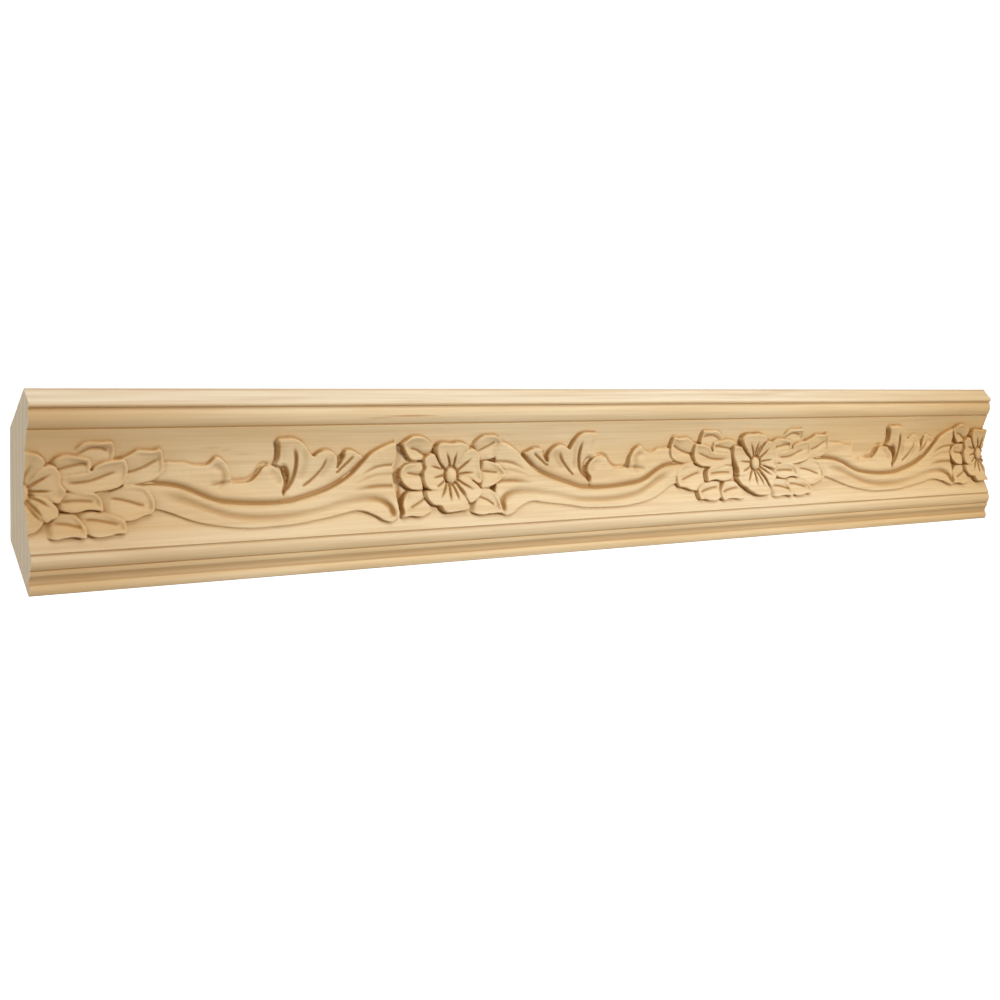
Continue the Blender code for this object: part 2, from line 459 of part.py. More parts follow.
def thinned_field():
    """The carved field as an open sheet, thinned where it is plain."""
    u = np.linspace(0.0, LENGTH, round(LENGTH / GRID_STEP) + 1)
    v = np.linspace(FIELD_TOP, FIELD_BOTTOM, round((FIELD_BOTTOM - FIELD_TOP) / GRID_STEP) + 1)
    depth = carved_field(u, v)
    sheet = bmesh.new()
    rows = [[sheet.verts.new(place(u[j], v[i], depth[i, j])) for j in range(len(u))] for i in range(len(v))]
    for row, below in zip(rows, rows[1:]):
        for j in range(len(u) - 1):
            sheet.faces.new((row[j], below[j], below[j + 1], row[j + 1]))
    sheet.normal_update()
    bmesh.ops.triangulate(sheet, faces=sheet.faces)
    data = bpy.data.meshes.new("field")
    sheet.to_mesh(data)
    field = bpy.data.objects.new("field", data)
    bpy.context.collection.objects.link(field)
    thin = field.modifiers.new("thin", "DECIMATE")
    thin.ratio = FIELD_TRIANGLES / len(data.polygons)
    thin.use_collapse_triangulate = True
    thinned = bpy.data.meshes.new_from_object(field.evaluated_get(bpy.context.evaluated_depsgraph_get()))
    bpy.data.objects.remove(field)
    sheet.clear()
    sheet.from_mesh(thinned)
    return sheet


def place(u, v, depth):
    """Position in metres of a point of the face."""
    middle_v = (TOP_BEVEL + BOTTOM_EDGE_V - BOTTOM_BEVEL) / 2
    return Vector((u - LENGTH / 2, -depth, middle_v - v)) * MM


def border_chains(sheet):
    """The sheet's border as four chains of points: top, right, bottom and left, each along +u or +v."""
    top, bottom = (FIELD_TOP, FIELD_TOP_DEPTH), (FIELD_BOTTOM, FIELD_BOTTOM_DEPTH)
    corners = [place(0, *top), place(LENGTH, *top), place(LENGTH, *bottom), place(0, *bottom)]
    border = [vert for vert in sheet.verts if vert.is_boundary]
    ends = [min(border, key=lambda vert: (vert.co - corner).length) for corner in corners]
    chains = []
    for start, stop in zip(ends, ends[1:] + ends[:1]):
        for edge in [edge for edge in start.link_edges if edge.is_boundary]:
            chain = [start, edge.other_vert(start)]
            while chain[-1] not in ends:
                edge = next(e for e in chain[-1].link_edges if e.is_boundary and e is not edge)
                chain.append(edge.other_vert(chain[-1]))
            if chain[-1] is stop:
                chains.append(chain)
    for end, corner in zip(ends, corners):
        end.co = corner
    for chain in (chains[0], chains[2]):
        for vert in chain:
            vert.co.yz = chain[0].co.yz
    for chain in (chains[1], chains[3]):
        for vert in chain:
            vert.co.x = chain[0].co.x
    return chains[0], chains[1], chains[2][::-1], chains[3][::-1]


def zip_rows(mesh, upper, lower):
    """Joins two rows of points, each along +X, with triangles."""
    i = j = 0
    while i < len(upper) - 1 or j < len(lower) - 1:
        if j == len(lower) - 1 or (i < len(upper) - 1 and upper[i + 1].co.x <= lower[j + 1].co.x):
            mesh.faces.new((upper[i], lower[j], upper[i + 1]))
            i += 1
        else:
            mesh.faces.new((upper[i], lower[j], lower[j + 1]))
            j += 1


def build_moulding():
    """The moulding as one closed mesh: carved field, moulded bands, back and the two cut ends."""
    mesh = thinned_field()
    field_top, right_cut, field_bottom, left_cut = border_chains(mesh)
    columns = np.linspace(0.0, LENGTH, BAND_COLUMNS)
    upper = [[mesh.verts.new(place(u, v, depth)) for u in columns]
             for v, depth in band_points(UPPER_BANDS, (FIELD_TOP, FIELD_TOP_DEPTH))]
    lower = [[mesh.verts.new(place(u, v, depth)) for u in columns]
             for v, depth in band_points(LOWER_BANDS, LOWER_BANDS[-1])]
    back = [[mesh.verts.new(place(u, v, 0.0)) for u in columns]
            for v in (BOTTOM_EDGE_V - BOTTOM_BEVEL, TOP_BEVEL)]
    for rows in (upper + [field_top], [field_bottom] + lower + back + upper[:1]):
        for row, below in zip(rows, rows[1:]):
            zip_rows(mesh, row, below)
    for side, cut in ((0, left_cut), (-1, right_cut)):
        outline = [row[side] for row in upper] + cut + [row[side] for row in lower + back]
        mesh.faces.new(outline)
    mesh.normal_update()
    bmesh.ops.triangulate(mesh, faces=[face for face in mesh.faces if len(face.verts) > 3])
    bmesh.ops.recalc_face_normals(mesh, faces=mesh.faces)
    data = bpy.data.meshes.new("carved_moulding")
    mesh.to_mesh(data)
    mesh.free()
    moulding = bpy.data.objects.new("carved_moulding", data)
    bpy.context.collection.objects.link(moulding)
    return moulding


def wood_material():
    """Pale unfinished softwood."""
    wood = bpy.data.materials.new("pale_softwood")
    wood.use_nodes = True
    shader = wood.node_tree.nodes["Principled BSDF"]
    shader.inputs["Base Color"].default_value = WOOD_COLOUR
    shader.inputs["Roughness"].default_value = WOOD_ROUGHNESS
    shader.inputs["Metallic"].default_value = 0.0
    return wood


for old in list(bpy.data.objects):
    bpy.data.objects.remove(old)
build_moulding().data.materials.append(wood_material())
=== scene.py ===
import math
import bmesh
import bpy
import numpy as np
from mathutils import Matrix, Vector


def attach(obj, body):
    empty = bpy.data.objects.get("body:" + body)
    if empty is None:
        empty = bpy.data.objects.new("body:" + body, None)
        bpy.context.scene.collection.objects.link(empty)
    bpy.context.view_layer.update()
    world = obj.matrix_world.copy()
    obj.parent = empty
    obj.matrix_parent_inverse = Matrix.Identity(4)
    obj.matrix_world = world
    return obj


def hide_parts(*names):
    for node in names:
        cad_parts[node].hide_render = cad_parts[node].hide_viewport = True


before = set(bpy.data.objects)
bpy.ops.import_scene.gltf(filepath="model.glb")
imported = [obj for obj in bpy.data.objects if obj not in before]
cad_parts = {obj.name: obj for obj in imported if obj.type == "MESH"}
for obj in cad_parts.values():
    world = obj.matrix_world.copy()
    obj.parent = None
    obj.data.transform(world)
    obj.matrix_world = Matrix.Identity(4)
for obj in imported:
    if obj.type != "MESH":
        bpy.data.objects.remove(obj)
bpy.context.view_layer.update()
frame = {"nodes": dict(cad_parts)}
mm = 0.001  # the carving is laid out in millimetres and the mesh is in metres
print("frame loaded:", ", ".join(frame["nodes"]))

# The run profile: places across the face are v, down from the top edge, and depth, forward from the back
profile = {
    "length": 914.4,
    "faceHeight": 120.65,
    "topBevel": 24.1,  # where the ceiling bevel meets the flat back
    "bottomBevel": 29.3,
    "bottomEdge": 120.0,
    "fieldTop": (24.5, 28.8),
    "fieldBottom": (95.6, 34.0),
    "fieldSag": 9.2,  # hollow of the cove behind the carving
    "upperBands": [  # v, depth, swell of the arc to the next point
        (0.0, 24.1, -0.4),  # slanting lip
        (7.8, 31.4, 0.8),  # rounded nose
        (10.9, 31.0, 0.0),
        (11.4, 30.1, 2.0),  # ovolo
        (23.4, 28.7, 0.0),
        (23.9, 28.2, 0.0),  # quirk over the field
    ],
    "lowerBands": [
        (96.4, 33.2, 0.0),  # quirk under the field
        (97.0, 33.6, 1.2),  # bead
        (105.2, 33.0, 0.0),
        (105.8, 32.3, 0.0),
        (106.4, 32.7, 0.1),  # fillet
        (108.8, 32.4, -0.8),  # small cove
        (114.2, 30.5, 0.8),  # bottom bead
        (119.5, 31.4, 0.25),  # rounded bottom edge
        (120.65, 30.3, 0.0),
        (120.0, 29.3, 0.0),
    ],
    "arcSteps": 12,
    "columns": 49,  # along the plain bands
}

# Leaves: outline, vein from the base outwards, rise at the base and at the tip.
# The large cluster is measured from the left end, the small one from the middle of its flower.
leaves = {
    "large": [  # lowest leaf first
        ([(28.5, 37.5), (30, 34.3), (33, 31.5), (37, 30.2), (43, 30.4), (50.3, 30.1), (52.2, 32.8),
          (52.8, 36), (52.6, 41), (49, 45), (42, 47), (34, 46)],
         [(31, 38), (38, 34.2), (44, 34), (48.5, 35.6)], 2.0, 3.0),
        ([(50, 45), (55, 41), (60, 38.9), (63.5, 36.9), (67, 35.5), (71, 35.8), (76, 35.9), (80.8, 34.9),
          (82.7, 38), (84, 43.5), (83.8, 48.5), (82, 52.5), (77, 55.8), (70, 57.6), (60, 58), (52, 55)],
         [(58, 50.5), (62, 49.4), (67, 48.1), (72, 46.1), (76, 43.9), (80.3, 41.5)], 2.4, 3.6),
        ([(44, 63), (50, 61.5), (54.5, 59.8), (58, 58.2), (63, 57.9), (68.5, 58.6), (71.8, 59.6), (74, 62),
          (76, 65.3), (77.5, 69.5), (77.3, 74), (75.5, 76.6), (70, 77.8), (64, 79.9), (58, 80.5), (50, 78),
          (44, 72)],
         [(50, 66), (56, 67), (62, 68.6), (67, 70.3), (71.5, 71.5)], 2.4, 3.7),
        ([(29, 75), (35, 73.3), (40, 72.9), (45, 73.8), (50, 75.3), (54, 77), (57.5, 79.3), (58.5, 82),
          (58, 86), (56, 87.5), (52, 87.3), (47, 88.5), (41, 88.9), (37, 87.8), (34.5, 86.5), (30, 83)],
         [(34, 78), (41, 78.6), (47, 79.9), (54, 81.8)], 2.8, 3.9),
        ([(7, 82), (11, 79.8), (15, 77), (19, 74), (24, 73.6), (29.3, 74.3), (31.7, 77), (34, 80.5),
          (35, 84.5), (34.5, 88), (32, 88.9), (28, 87.9), (22, 88), (17, 88.9), (12, 88), (8.5, 86)],
         [(15, 79.2), (20, 79.6), (25, 80.4), (29, 81.6), (31.8, 82.3)], 3.0, 4.1),
        ([(14, 64), (22, 61), (30, 60.5), (38, 61), (42.5, 62.2), (45, 65.3), (46, 69), (45.6, 73.8),
          (41, 73), (36, 72.8), (31, 74), (26, 73.9), (21, 72.4), (16, 70)],
         [(21, 67.2), (28, 66.8), (34, 66.9), (41, 67.6)], 3.2, 4.4),
        ([(9, 46), (13.5, 42.3), (16.5, 40), (20.5, 38.1), (25, 37.5), (30, 38.2), (35, 39.2), (38.2, 40.2),
          (39.4, 43), (39.6, 48.5), (38, 55), (30, 60), (18, 60)],
         [(18, 47), (22, 45.7), (28, 44.4), (33, 43.4), (37, 43.4)], 3.2, 4.0),
        ([(22, 52), (29, 50), (36, 49), (39.3, 47.5), (41, 44.8), (44.5, 42.8), (49, 41.6), (54, 40.9),
          (58.3, 41), (60.2, 44.5), (60.8, 49.5), (59.8, 54.3), (57, 58.3), (52.5, 60.6), (46, 61.8),
          (36, 62.5), (26, 61)],
         [(25, 55), (31, 55.3), (38, 54.6), (43, 53.1), (48, 50.9), (54, 48.9)], 3.3, 4.7),
    ],
    "small": [
        ([(-42.5, -23.8), (-40, -26.5), (-35.5, -29), (-30.5, -29.6), (-24.5, -28.5), (-19.5, -26),
          (-14, -21), (-10, -12), (-18, -10.4), (-24.5, -11.8), (-28.5, -11.5), (-32.5, -11.7),
          (-35.8, -13.7), (-38.8, -17.5)],
         [(-20, -14.8), (-25, -17.3), (-29.5, -19.8), (-35, -21)], 3.2, 3.9),
        ([(-44.5, 27.7), (-43.3, 24), (-43.3, 19.5), (-42, 15.7), (-39.5, 12.2), (-36, 10.3), (-30, 10),
          (-22, 10), (-12, 12), (-13, 19), (-18.5, 23.8), (-23.5, 26.3), (-29.5, 27.8), (-37.5, 27)],
         [(-23, 15.5), (-29, 18.6), (-36, 21.5)], 3.2, 3.8),
        ([(-43.7, -2), (-42.7, -5.5), (-39.5, -9), (-35.5, -10.4), (-29.5, -10.8), (-22, -10.5), (-12, -6),
          (-12, 6), (-22, 9.7), (-31.5, 9.7), (-36.5, 8.2), (-40.5, 5), (-43, 1)],
         [(-23, -1.2), (-29.5, -1.6), (-36.5, -3)], 3.4, 4.2),
        ([(14, -18), (18, -23), (21.5, -26.5), (26, -28.7), (32, -29.2), (37.5, -28.6), (41.3, -26.5),
          (42.8, -23.3), (41, -19.5), (39, -16), (37.8, -12.8), (35.5, -11.2), (27, -10.4), (16, -11)],
         [(22, -17), (28.5, -19.8), (33.5, -22), (37, -24.3)], 3.2, 4.0),
        ([(14, 12), (24, 10.2), (30, 10), (34.5, 11.2), (38, 14.7), (40, 18.7), (40.8, 23.7), (40.8, 28),
          (35, 28.3), (28.5, 28.5), (21.5, 28.9), (15.5, 27.2), (11.5, 24.7), (12, 18)],
         [(21, 15.5), (27, 17.5), (31, 19.2), (35.5, 22.8)], 3.2, 4.0),
        ([(16, -9), (25, -10.3), (31, -10.6), (36, -9.8), (40.5, -7.8), (44.5, -4.8), (47.3, -1.2),
          (47.3, 1.5), (44.5, 4.2), (40.5, 6.8), (36.5, 8.8), (31, 10.4), (24, 10.4), (16, 8)],
         [(27, -2.4), (33, -1.6), (41, -0.7)], 3.4, 4.3),
    ],
    "edge": 1.0,  # rounding of the rim
    "lip": 0.45,  # raised rim round the tip
    "cup": 0.8,  # how far the inside sinks behind the rim
    "fold": 1.0,  # slope of the halves towards the vein
    "veinWidth": 1.0,
    "veinDepth": 1.3,
}

# Flower: outlines and grooves of the petals from its middle, lowest petal first
flower = {
    "places": [((-2.5, 60.8), "cut"), ((302.0, 60.0), "small"), ((607.5, 60.0), "large"),
               ((908, 59.5), "small")],
    "cut": [  # right half of the flower that the left cut goes through
        ([(-4, 4), (-9, 12), (-6, 22), (-1, 24.3), (4, 24.2), (8, 22.5), (11.2, 19.5), (12.6, 16.5),
          (10.5, 11), (5, 3)],
         [[(3, 6), (6.2, 11.5), (10, 17.3)]]),
        ([(-1, -3), (-5, -12), (-6, -21), (-2, -25.3), (3, -25.6), (7.5, -25), (11.5, -23.4), (13.6, -20.8),
          (14.2, -18), (11, -12), (4, -3)],
         [[(2, -6), (3.2, -12), (5.6, -18.5)]]),
        ([(2.6, -3), (4.8, -8.5), (7.5, -12.8), (11.5, -16.2), (15.5, -18), (19.5, -17.2), (22.5, -14.2),
          (24, -10), (24.3, -5), (27, -1), (26.5, 2.4), (24, 5.8), (20.5, 7.5), (13, 4), (4, 0.5)],
         [[(4.5, -3.8), (10.5, -8), (18, -12)], [(4.5, -1), (11.5, -1), (19, -0.8)]]),
        ([(3, 2), (8.5, 1.5), (13.5, 2.5), (17.6, 5), (21, 8.5), (21.8, 12), (20.4, 15), (16.5, 16.8),
          (13, 18), (9, 14), (3.5, 5)],
         [[(5, 2.6), (10.5, 4.8), (16.5, 9.3)], [(3.6, 4.6), (7.5, 9.5), (12, 15.3)]]),
    ],
    "large": [
        ([(-2, 4), (-10, 7), (-18, 8), (-22.5, 10), (-22.7, 13), (-20, 17.5), (-15, 20), (-12, 22.5),
          (-8, 24.5), (-4, 26.3), (2, 27), (8, 26.8), (12, 25.5), (13, 21), (10, 14), (6, 9), (3, 4)],
         [[(-4, 6), (-8, 11), (-12, 16.5)], [(-1.2, 7), (-1.6, 13), (-1.6, 20)], [(1.6, 7.5), (4.4, 13.5),
           (7.4, 20)]]),
        ([(-3, -3), (-9, -7), (-14, -11.5), (-17.5, -16), (-22, -17), (-26.6, -16.6), (-28, -13), (-27.3, -7),
          (-24.5, -1), (-22.3, 5), (-22.4, 10), (-17, 11), (-10, 9.5), (-3, 4)],
         [[(-7, -1.4), (-13, -1.8), (-20, -2.6)], [(-6, 3), (-11, 5), (-17, 7)]]),
        ([(-2, -3), (-8, -8), (-13, -13), (-17, -18.5), (-18.8, -23), (-16, -26), (-10, -27.2), (-4, -27),
          (2, -27.3), (7.6, -25.6), (11.3, -22.4), (9, -19), (6.4, -15), (2.5, -4)],
         [[(-2, -7), (-5, -13.5), (-9, -20)], [(-0.3, -8), (0, -14.5), (0.8, -21)], [(2, -6), (3.2, -14),
           (7.5, -20)]]),
        ([(2, -4), (4, -10), (6.4, -15.5), (10, -19.4), (15, -20.6), (19, -19.6), (22, -16), (23.5, -10),
          (24.5, -4), (25.5, 2), (23, 6), (17, 5), (10, 3), (3, 1)],
         [[(5, -4.6), (10, -9.4), (15, -14.6)], [(7, -1.2), (13, -2.4), (19.5, -2.6)]]),
        ([(3, 2), (8, 2), (13, 4), (18, 7), (21.5, 9.5), (22, 12.5), (18, 17), (13.5, 20.5), (11, 17),
          (7, 11), (3, 6)],
         [[(5.5, 3.6), (11, 7.4), (17.6, 11.4)], [(4, 5.5), (7.6, 10.5), (11.2, 16)]]),
    ],
    "small": [
        ([(-2, 4), (-9, 8), (-15, 9.5), (-22, 10), (-23.3, 13), (-22.6, 16), (-20, 19), (-16.5, 20.8),
          (-12.5, 21.3), (-11, 24), (-8, 26), (-4, 26.2), (2, 25.7), (8, 25.3), (12, 24.3), (13, 21),
          (11.5, 17), (7.5, 11), (3, 4)],
         [[(-4, 6), (-7, 11), (-11.5, 16.5)], [(-1.7, 7), (-2.4, 13), (-3, 19.5)], [(1.2, 7), (3.2, 13),
           (4.6, 19)]]),
        ([(-3, -3), (-9, -8), (-13, -14), (-15.5, -17.2), (-20.5, -16.4), (-24, -13.5), (-24.4, -10),
          (-23.2, -6.5), (-24.8, -2.5), (-24.8, 2.5), (-22.8, 7.3), (-19, 10.2), (-13, 10.6), (-7.5, 9.4),
          (-3, 4)],
         [[(-7, -4.8), (-13, -6.4), (-19, -8)], [(-7, 0), (-11, 0.6), (-16.5, 1.6)], [(-6, 4), (-10, 6.6),
           (-14, 8)]]),
        ([(-2, -3), (-6.5, -6.5), (-11, -11), (-13.7, -16), (-14.6, -20.5), (-12.5, -23.9), (-7, -24.7),
          (-1, -24.1), (4, -24.7), (9.5, -24), (14, -21), (12, -14), (3, -4)],
         [[(-1, -7), (-3, -12.5), (-6.3, -18.5)], [(2.3, -6.5), (2.4, -12), (3.2, -18.5)]]),
        ([(2, -4), (5, -8.5), (6.3, -13), (9.5, -17), (13.5, -19.4), (17.5, -20.2), (21, -18), (23.8, -14.5),
          (24.2, -9.5), (24.8, -5), (26.3, 0), (26.4, 4), (23.8, 7.4), (17, 4.5), (10, 2.5), (3, 1)],
         [[(5.5, -3.6), (11.5, -8.8), (17.5, -13.2)], [(7, -0.6), (13, -1.6), (20, -1.2)]]),
        ([(3, 2), (8, 1.2), (13, 1.8), (17.5, 3.9), (21.5, 7), (24.3, 10.5), (24.2, 14), (20.5, 17.6),
          (15, 20.2), (11.7, 19.6), (8, 13), (3.5, 6)],
         [[(5.5, 3.7), (11.5, 7.6), (18.5, 11.3)], [(4, 5.5), (7.6, 10.5), (11.8, 16.4)]]),
    ],
    "rise": (2.2, 5.2),  # at the middle and at the rim
    "edge": 1.5,
    "groove": (0.95, 1.9),  # width and depth
    "grooveEnds": (0.02, 0.55),
    "hollows": [((22.5, 2.5), 3.4, 2.0), ((8, 19.5), 4.0, 1.7), ((20, -4), 3.0, 0.5), ((-18, -3), 3.5, 0.3)],
    "dome": (5.0, 5.9, 5.2),  # half width, half height, rise
    "domeGap": 1.9,  # how deep the ring round it is
    "domeRing": (1.12, 0.2, 0.8),  # its radius against the dome's, its width and the strength of the painted shade in it
    "rim": 0.35,  # raised rim of a petal
    "overlap": 0.1,  # how much higher each petal lies than the one before
}

# Stem between two flowers, measured from the left end
stem = {
    "channel": [(60, 57), (78, 57.6), (90, 59.2), (100, 62.4), (110, 67), (120, 70.5), (130, 72),
                (145, 73.2), (160, 73.6), (172, 73), (180, 71.4), (190, 69), (200, 65.6), (208, 61.4),
                (216, 55.8), (224, 48), (230, 42), (236, 38.4), (243, 35.6), (252, 33)],
    "channelDepth": 3.2,
    "channelWidth": (2.5, 1.7),  # above and below its deepest line
    "lowerEdge": [(60, 72), (78, 74.3), (84, 75.8), (90, 78), (100, 82), (110, 84.8), (120, 86.6), (130, 88),
                  (140, 88.8), (150, 88.8), (160, 88.6), (170, 88.3), (180, 87.3), (190, 86), (200, 84.6),
                  (210, 82.9), (217, 81.6), (223, 81.9), (228, 83.3), (234, 85.8), (238, 88.3), (242, 89.7),
                  (246, 90), (250, 88.3)],
    "end": [(252.5, 36.5), (253.9, 42), (251.3, 50), (250.7, 57), (251.6, 64), (251.5, 69), (253.4, 74),
            (254.4, 79), (253.9, 84), (252.4, 87)],
    "rise": (3.8, 2.2, 4.1),  # under the channel, at the lower edge, at the wide end
    "edge": 1.5,
    "stopCut": 0.45,
    "flute": [(74, 63), (84, 66), (92, 68), (100, 70.4), (110, 74.2), (120, 78), (130, 80.4), (145, 82),
              (160, 82.3), (175, 81.5), (190, 79.5), (205, 76.5), (218, 74.4), (230, 73.6), (240, 75.4),
              (246, 79.6), (247.5, 85)],
    "fluteWidth": 2.4,
    "fluteDepth": 2.4,
    "fluteEnd": 1.2,  # how much deeper it ends in the curled lobe
    "fanGrooves": [([(251, 50.3), (240, 51), (232, 53.4), (224, 58)], 1.4, 1.3),
                   ([(251, 57), (238, 57.4), (228, 60), (216, 65)], 1.4, 0.6),
                   ([(251, 65.9), (240, 65.6), (230, 66.2), (216, 68)], 1.9, 1.4)],
    "hook": [(60, 50), (84, 43.8), (90, 43.8), (98, 44), (104, 46), (110, 46.4), (114, 45), (117.6, 41.4),
             (120.5, 41.3), (123.5, 43), (126.5, 46.5), (128.6, 51), (129.6, 56), (129.6, 61), (128, 75),
             (112, 72), (100, 66), (85, 63), (60, 62)],
    "hookHollow": ([(112, 50), (118, 47.6), (122, 49.6), (123.4, 54), (122.6, 60), (119, 65)], 2.3, 1.7),
    "lobe": [(100, 64), (112, 62), (124, 58.8), (135, 58.8), (141, 58.5), (145, 56), (148, 52.5),
             (150, 49.5), (152.5, 47.9), (156, 47.7), (160, 48.2), (163.3, 50.5), (166.2, 54), (168, 58),
             (168.5, 62), (166, 66), (168, 78), (150, 79), (130, 77), (112, 72), (100, 68)],
    "hookRise": (2.4, 1.3),  # at its start, and what it gains twice
    "lobeRise": (2.6, 1.5),
    "curlEdge": 1.8,
    "lobeHollow": ([(154, 51.5), (160, 53), (163.5, 57.5), (163, 63)], 3.6, 1.3),
    "lobeLine": ([(116, 60.3), (126, 58.4), (135, 58.2), (141, 57.9), (144.7, 55.4), (147.5, 52), (149.5, 49),
                  (152.3, 47.2), (156, 46.9)], 1.5, 2.2),
    "endLine": ([(254.8, 35), (256, 42), (254.4, 50), (253.8, 57), (254.6, 64), (254.8, 69), (256, 76),
                 (256.3, 84)], 3.0, 2.8),
}

# Acanthus leaf that stands on the stem
acanthus = {
    "outline": [(161, 48), (162.2, 42), (161.8, 36), (160.6, 31), (165, 30.2), (170, 29.9), (175, 30.6),
                (180, 33), (184, 37), (187.3, 41.3), (188.8, 42.4), (190.2, 41), (194, 39), (198, 38.4),
                (202, 39.6), (205, 43), (206.4, 47), (205.9, 51.3), (207.2, 48.4), (209.4, 44),
                (210.7, 39.6), (215, 38.8), (219, 40), (222.5, 42), (226, 45), (218, 57), (208, 66),
                (194, 74), (172, 78), (164, 76), (168, 66), (170.2, 60), (169.8, 54), (167, 50)],
    "rise": (2.6, 4.6),
    "edge": 1.7,
    "veins": [([(173.4, 36), (175.4, 42), (176, 48), (175.3, 54), (173.4, 59.5), (170, 64), (165, 67)],
               1.5, 2.4),
              ([(197.7, 43.3), (195.6, 50), (191, 56), (186, 60.6), (181, 64)], 1.2, 1.7),
              ([(217.7, 42.8), (213, 47.5), (209, 51.5), (205, 55.5)], 1.2, 1.8)],
    "hollows": [([(180.5, 36), (182.2, 44), (181.5, 53), (179, 61)], 2.8, 1.2),
                ([(200, 42), (200.6, 47), (197, 54), (192, 60)], 2.8, 1.1),
                ([(164, 34), (165.2, 40), (166.5, 46)], 2.4, 0.6),
                ([(208.6, 42), (207.5, 46), (206.3, 50)], 1.6, 1.6),
                ([(163.5, 46.5), (167.8, 50), (169.7, 55.5), (169, 61.5), (166.5, 65)], 1.6, 3.2)],
}

# Places along the piece and the place in the drawn stem pattern that each one shows
stretches = [(-10, -10), (35, 35), (62.3, 60), (86.6, 84), (132.8, 129.6), (153.5, 150), (163.8, 161),
             (177, 175), (201, 197.7), (217.3, 213), (255.3, 252.5), (301.2, 301.5), (338.5, 252.5),
             (381.5, 211), (399.5, 197.7), (411, 186), (417.5, 175), (427, 168), (433, 161), (449, 147),
             (467.5, 129.6), (481.5, 117.6), (510.5, 84), (536.3, 60), (550, 46), (562.5, 35),
             (607.5, -2.5), (646, 34.5), (661, 50), (674, 60.5), (692, 79), (704, 90), (716.5, 101),
             (725.5, 110.5), (735, 120), (742, 127), (762, 150), (773, 161), (783, 167), (789.5, 175),
             (832, 216), (866, 251.5), (908, 301.5), (925, 284)]
# How much further down the carving lies there than drawn: middle, reach along and across, and the shift
nudges = [((598, 34), (95, 17), 1.5), ((380, 40), (17, 11), 2.3), ((433, 48), (9, 8), 1.2),
          ((853, 89), (12, 8), -4.0)]
calmed = [((727, 751), 62, 0.0), ((796, 838), 50, 0.45)]  # stretch, lower end, share of relief left

finish = {
    "gridStep": 0.42,
    "drawnStep": 0.3,  # grid of the drawn stem pattern
    "fieldTriangles": 180000,
    "wall": 0.9,  # width of the steep sides
    "stopCut": 0.9,  # how far the knife goes below the ground beside a shape
    "patternEnds": (-6.0, 303.0),
    "blend": 5.0,  # half width that the stretches run into each other over
    "drift": ((0.5, (46, 90), 11), (0.4, (38, 60), 12)),  # how far the hand strays, patch size and seed
    "steadyNear": 40.0,  # the hand strays less this near a flower's middle
    "steadyUntil": (300, 60),  # and not in the first stretch
    "knife": 0.06,  # ripples left by the gouge
    "ripples": ((1.0, (2.3, 2.0), 21), (0.6, (1.1, 1.3), 22)),  # share, patch size and seed
    "rippleShares": (0.35, 0.65),  # everywhere, and added on worked places
    "cutRise": 0.4,  # share of the relief that is left at the left cut, and the stretch it takes
    "cutRun": 8.0,
    "topDrop": 1.6,  # how much lower than drawn the upper shapes lie
    "topDropFrom": (68, 24),
    "reliefScale": 0.88,  # share of the drawn heights that is carved
    "sideShade": (0.45, 1.1),  # painted shade on walls: slope towards the left from which a wall is painted dark, and where it is full dark
    "lineFull": 1.4,  # depth of a cut line whose painted shade is full dark
    "hollowReach": ((1.2, 1.0), (3.0, 2.2)),  # painted shade in hollows, near and wide: how far, and how deep is full dark
    "paintedShade": (0.8, 0.75, 0.4, 0.45),  # strength of the painted shade on walls, in cut lines, in near hollows and in wide ones
    "bandReach": (1.2, 2.4),
    "bandDark": (2.4, 0.58),  # strength of the painted shade in the lines between the bands, and the most it darkens
    "frontFrom": 22.0,  # no painted shade nearer to the back than this
}


def easeStep(x):
    x = np.clip(x, 0.0, 1.0)
    return x * x * (3.0 - 2.0 * x)


def softNoise(u, v, cell, seed):  # smooth random values from -1 to 1
    lattice = np.random.default_rng(seed).uniform(-1, 1, (64, 512))
    x, y = u / cell[0] + 3.0, v / cell[1] + 3.0
    col, row = np.floor(x).astype(int) % 511, np.floor(y).astype(int) % 63
    tx, ty = easeStep(x - np.floor(x)), easeStep(y - np.floor(y))
    upper = lattice[row, col] * (1 - tx) + lattice[row, col + 1] * tx
    lower = lattice[row + 1, col] * (1 - tx) + lattice[row + 1, col + 1] * tx
    return upper * (1 - ty) + lower * ty


def curveThrough(points, closed=False, steps=6):  # Catmull-Rom
    points = np.asarray(points, dtype=float)
    count = len(points)
    curve = []
    for i in range(count if closed else count - 1):
        if closed:
            before, start, end, after = (points[(i + k) % count] for k in (-1, 0, 1, 2))
        else:
            before, after = points[max(i - 1, 0)], points[min(i + 2, count - 1)]
            start, end = points[i], points[i + 1]
        square = 2 * before - 5 * start + 4 * end - after
        cube = 3 * start - before - 3 * end + after
        for t in np.arange(steps) / steps:
            curve.append(0.5 * (2 * start + (end - before) * t + square * t ** 2 + cube * t ** 3))
    if not closed:
        curve.append(points[-1])
    return np.array(curve)


def nearestOn(u, v, path, closed):  # distance, how far along, and whether a closed path holds the place
    away, along = np.full(u.shape, 1e9), np.zeros(u.shape)
    inside = np.zeros(u.shape, dtype=bool)
    count = len(path) if closed else len(path) - 1
    for i in range(count):
        a, b = path[i], path[(i + 1) % len(path)]
        run = b - a
        t = np.clip(((u - a[0]) * run[0] + (v - a[1]) * run[1]) / max(run @ run, 1e-9), 0.0, 1.0)
        gap = np.hypot(u - a[0] - t * run[0], v - a[1] - t * run[1])
        along = np.where(gap < away, (i + t) / count, along)
        away = np.minimum(gap, away)
        if closed and a[1] != b[1]:
            inside ^= ((a[1] > v) != (b[1] > v)) & (u < a[0] + (v - a[1]) * run[0] / run[1])
    return away, along, inside


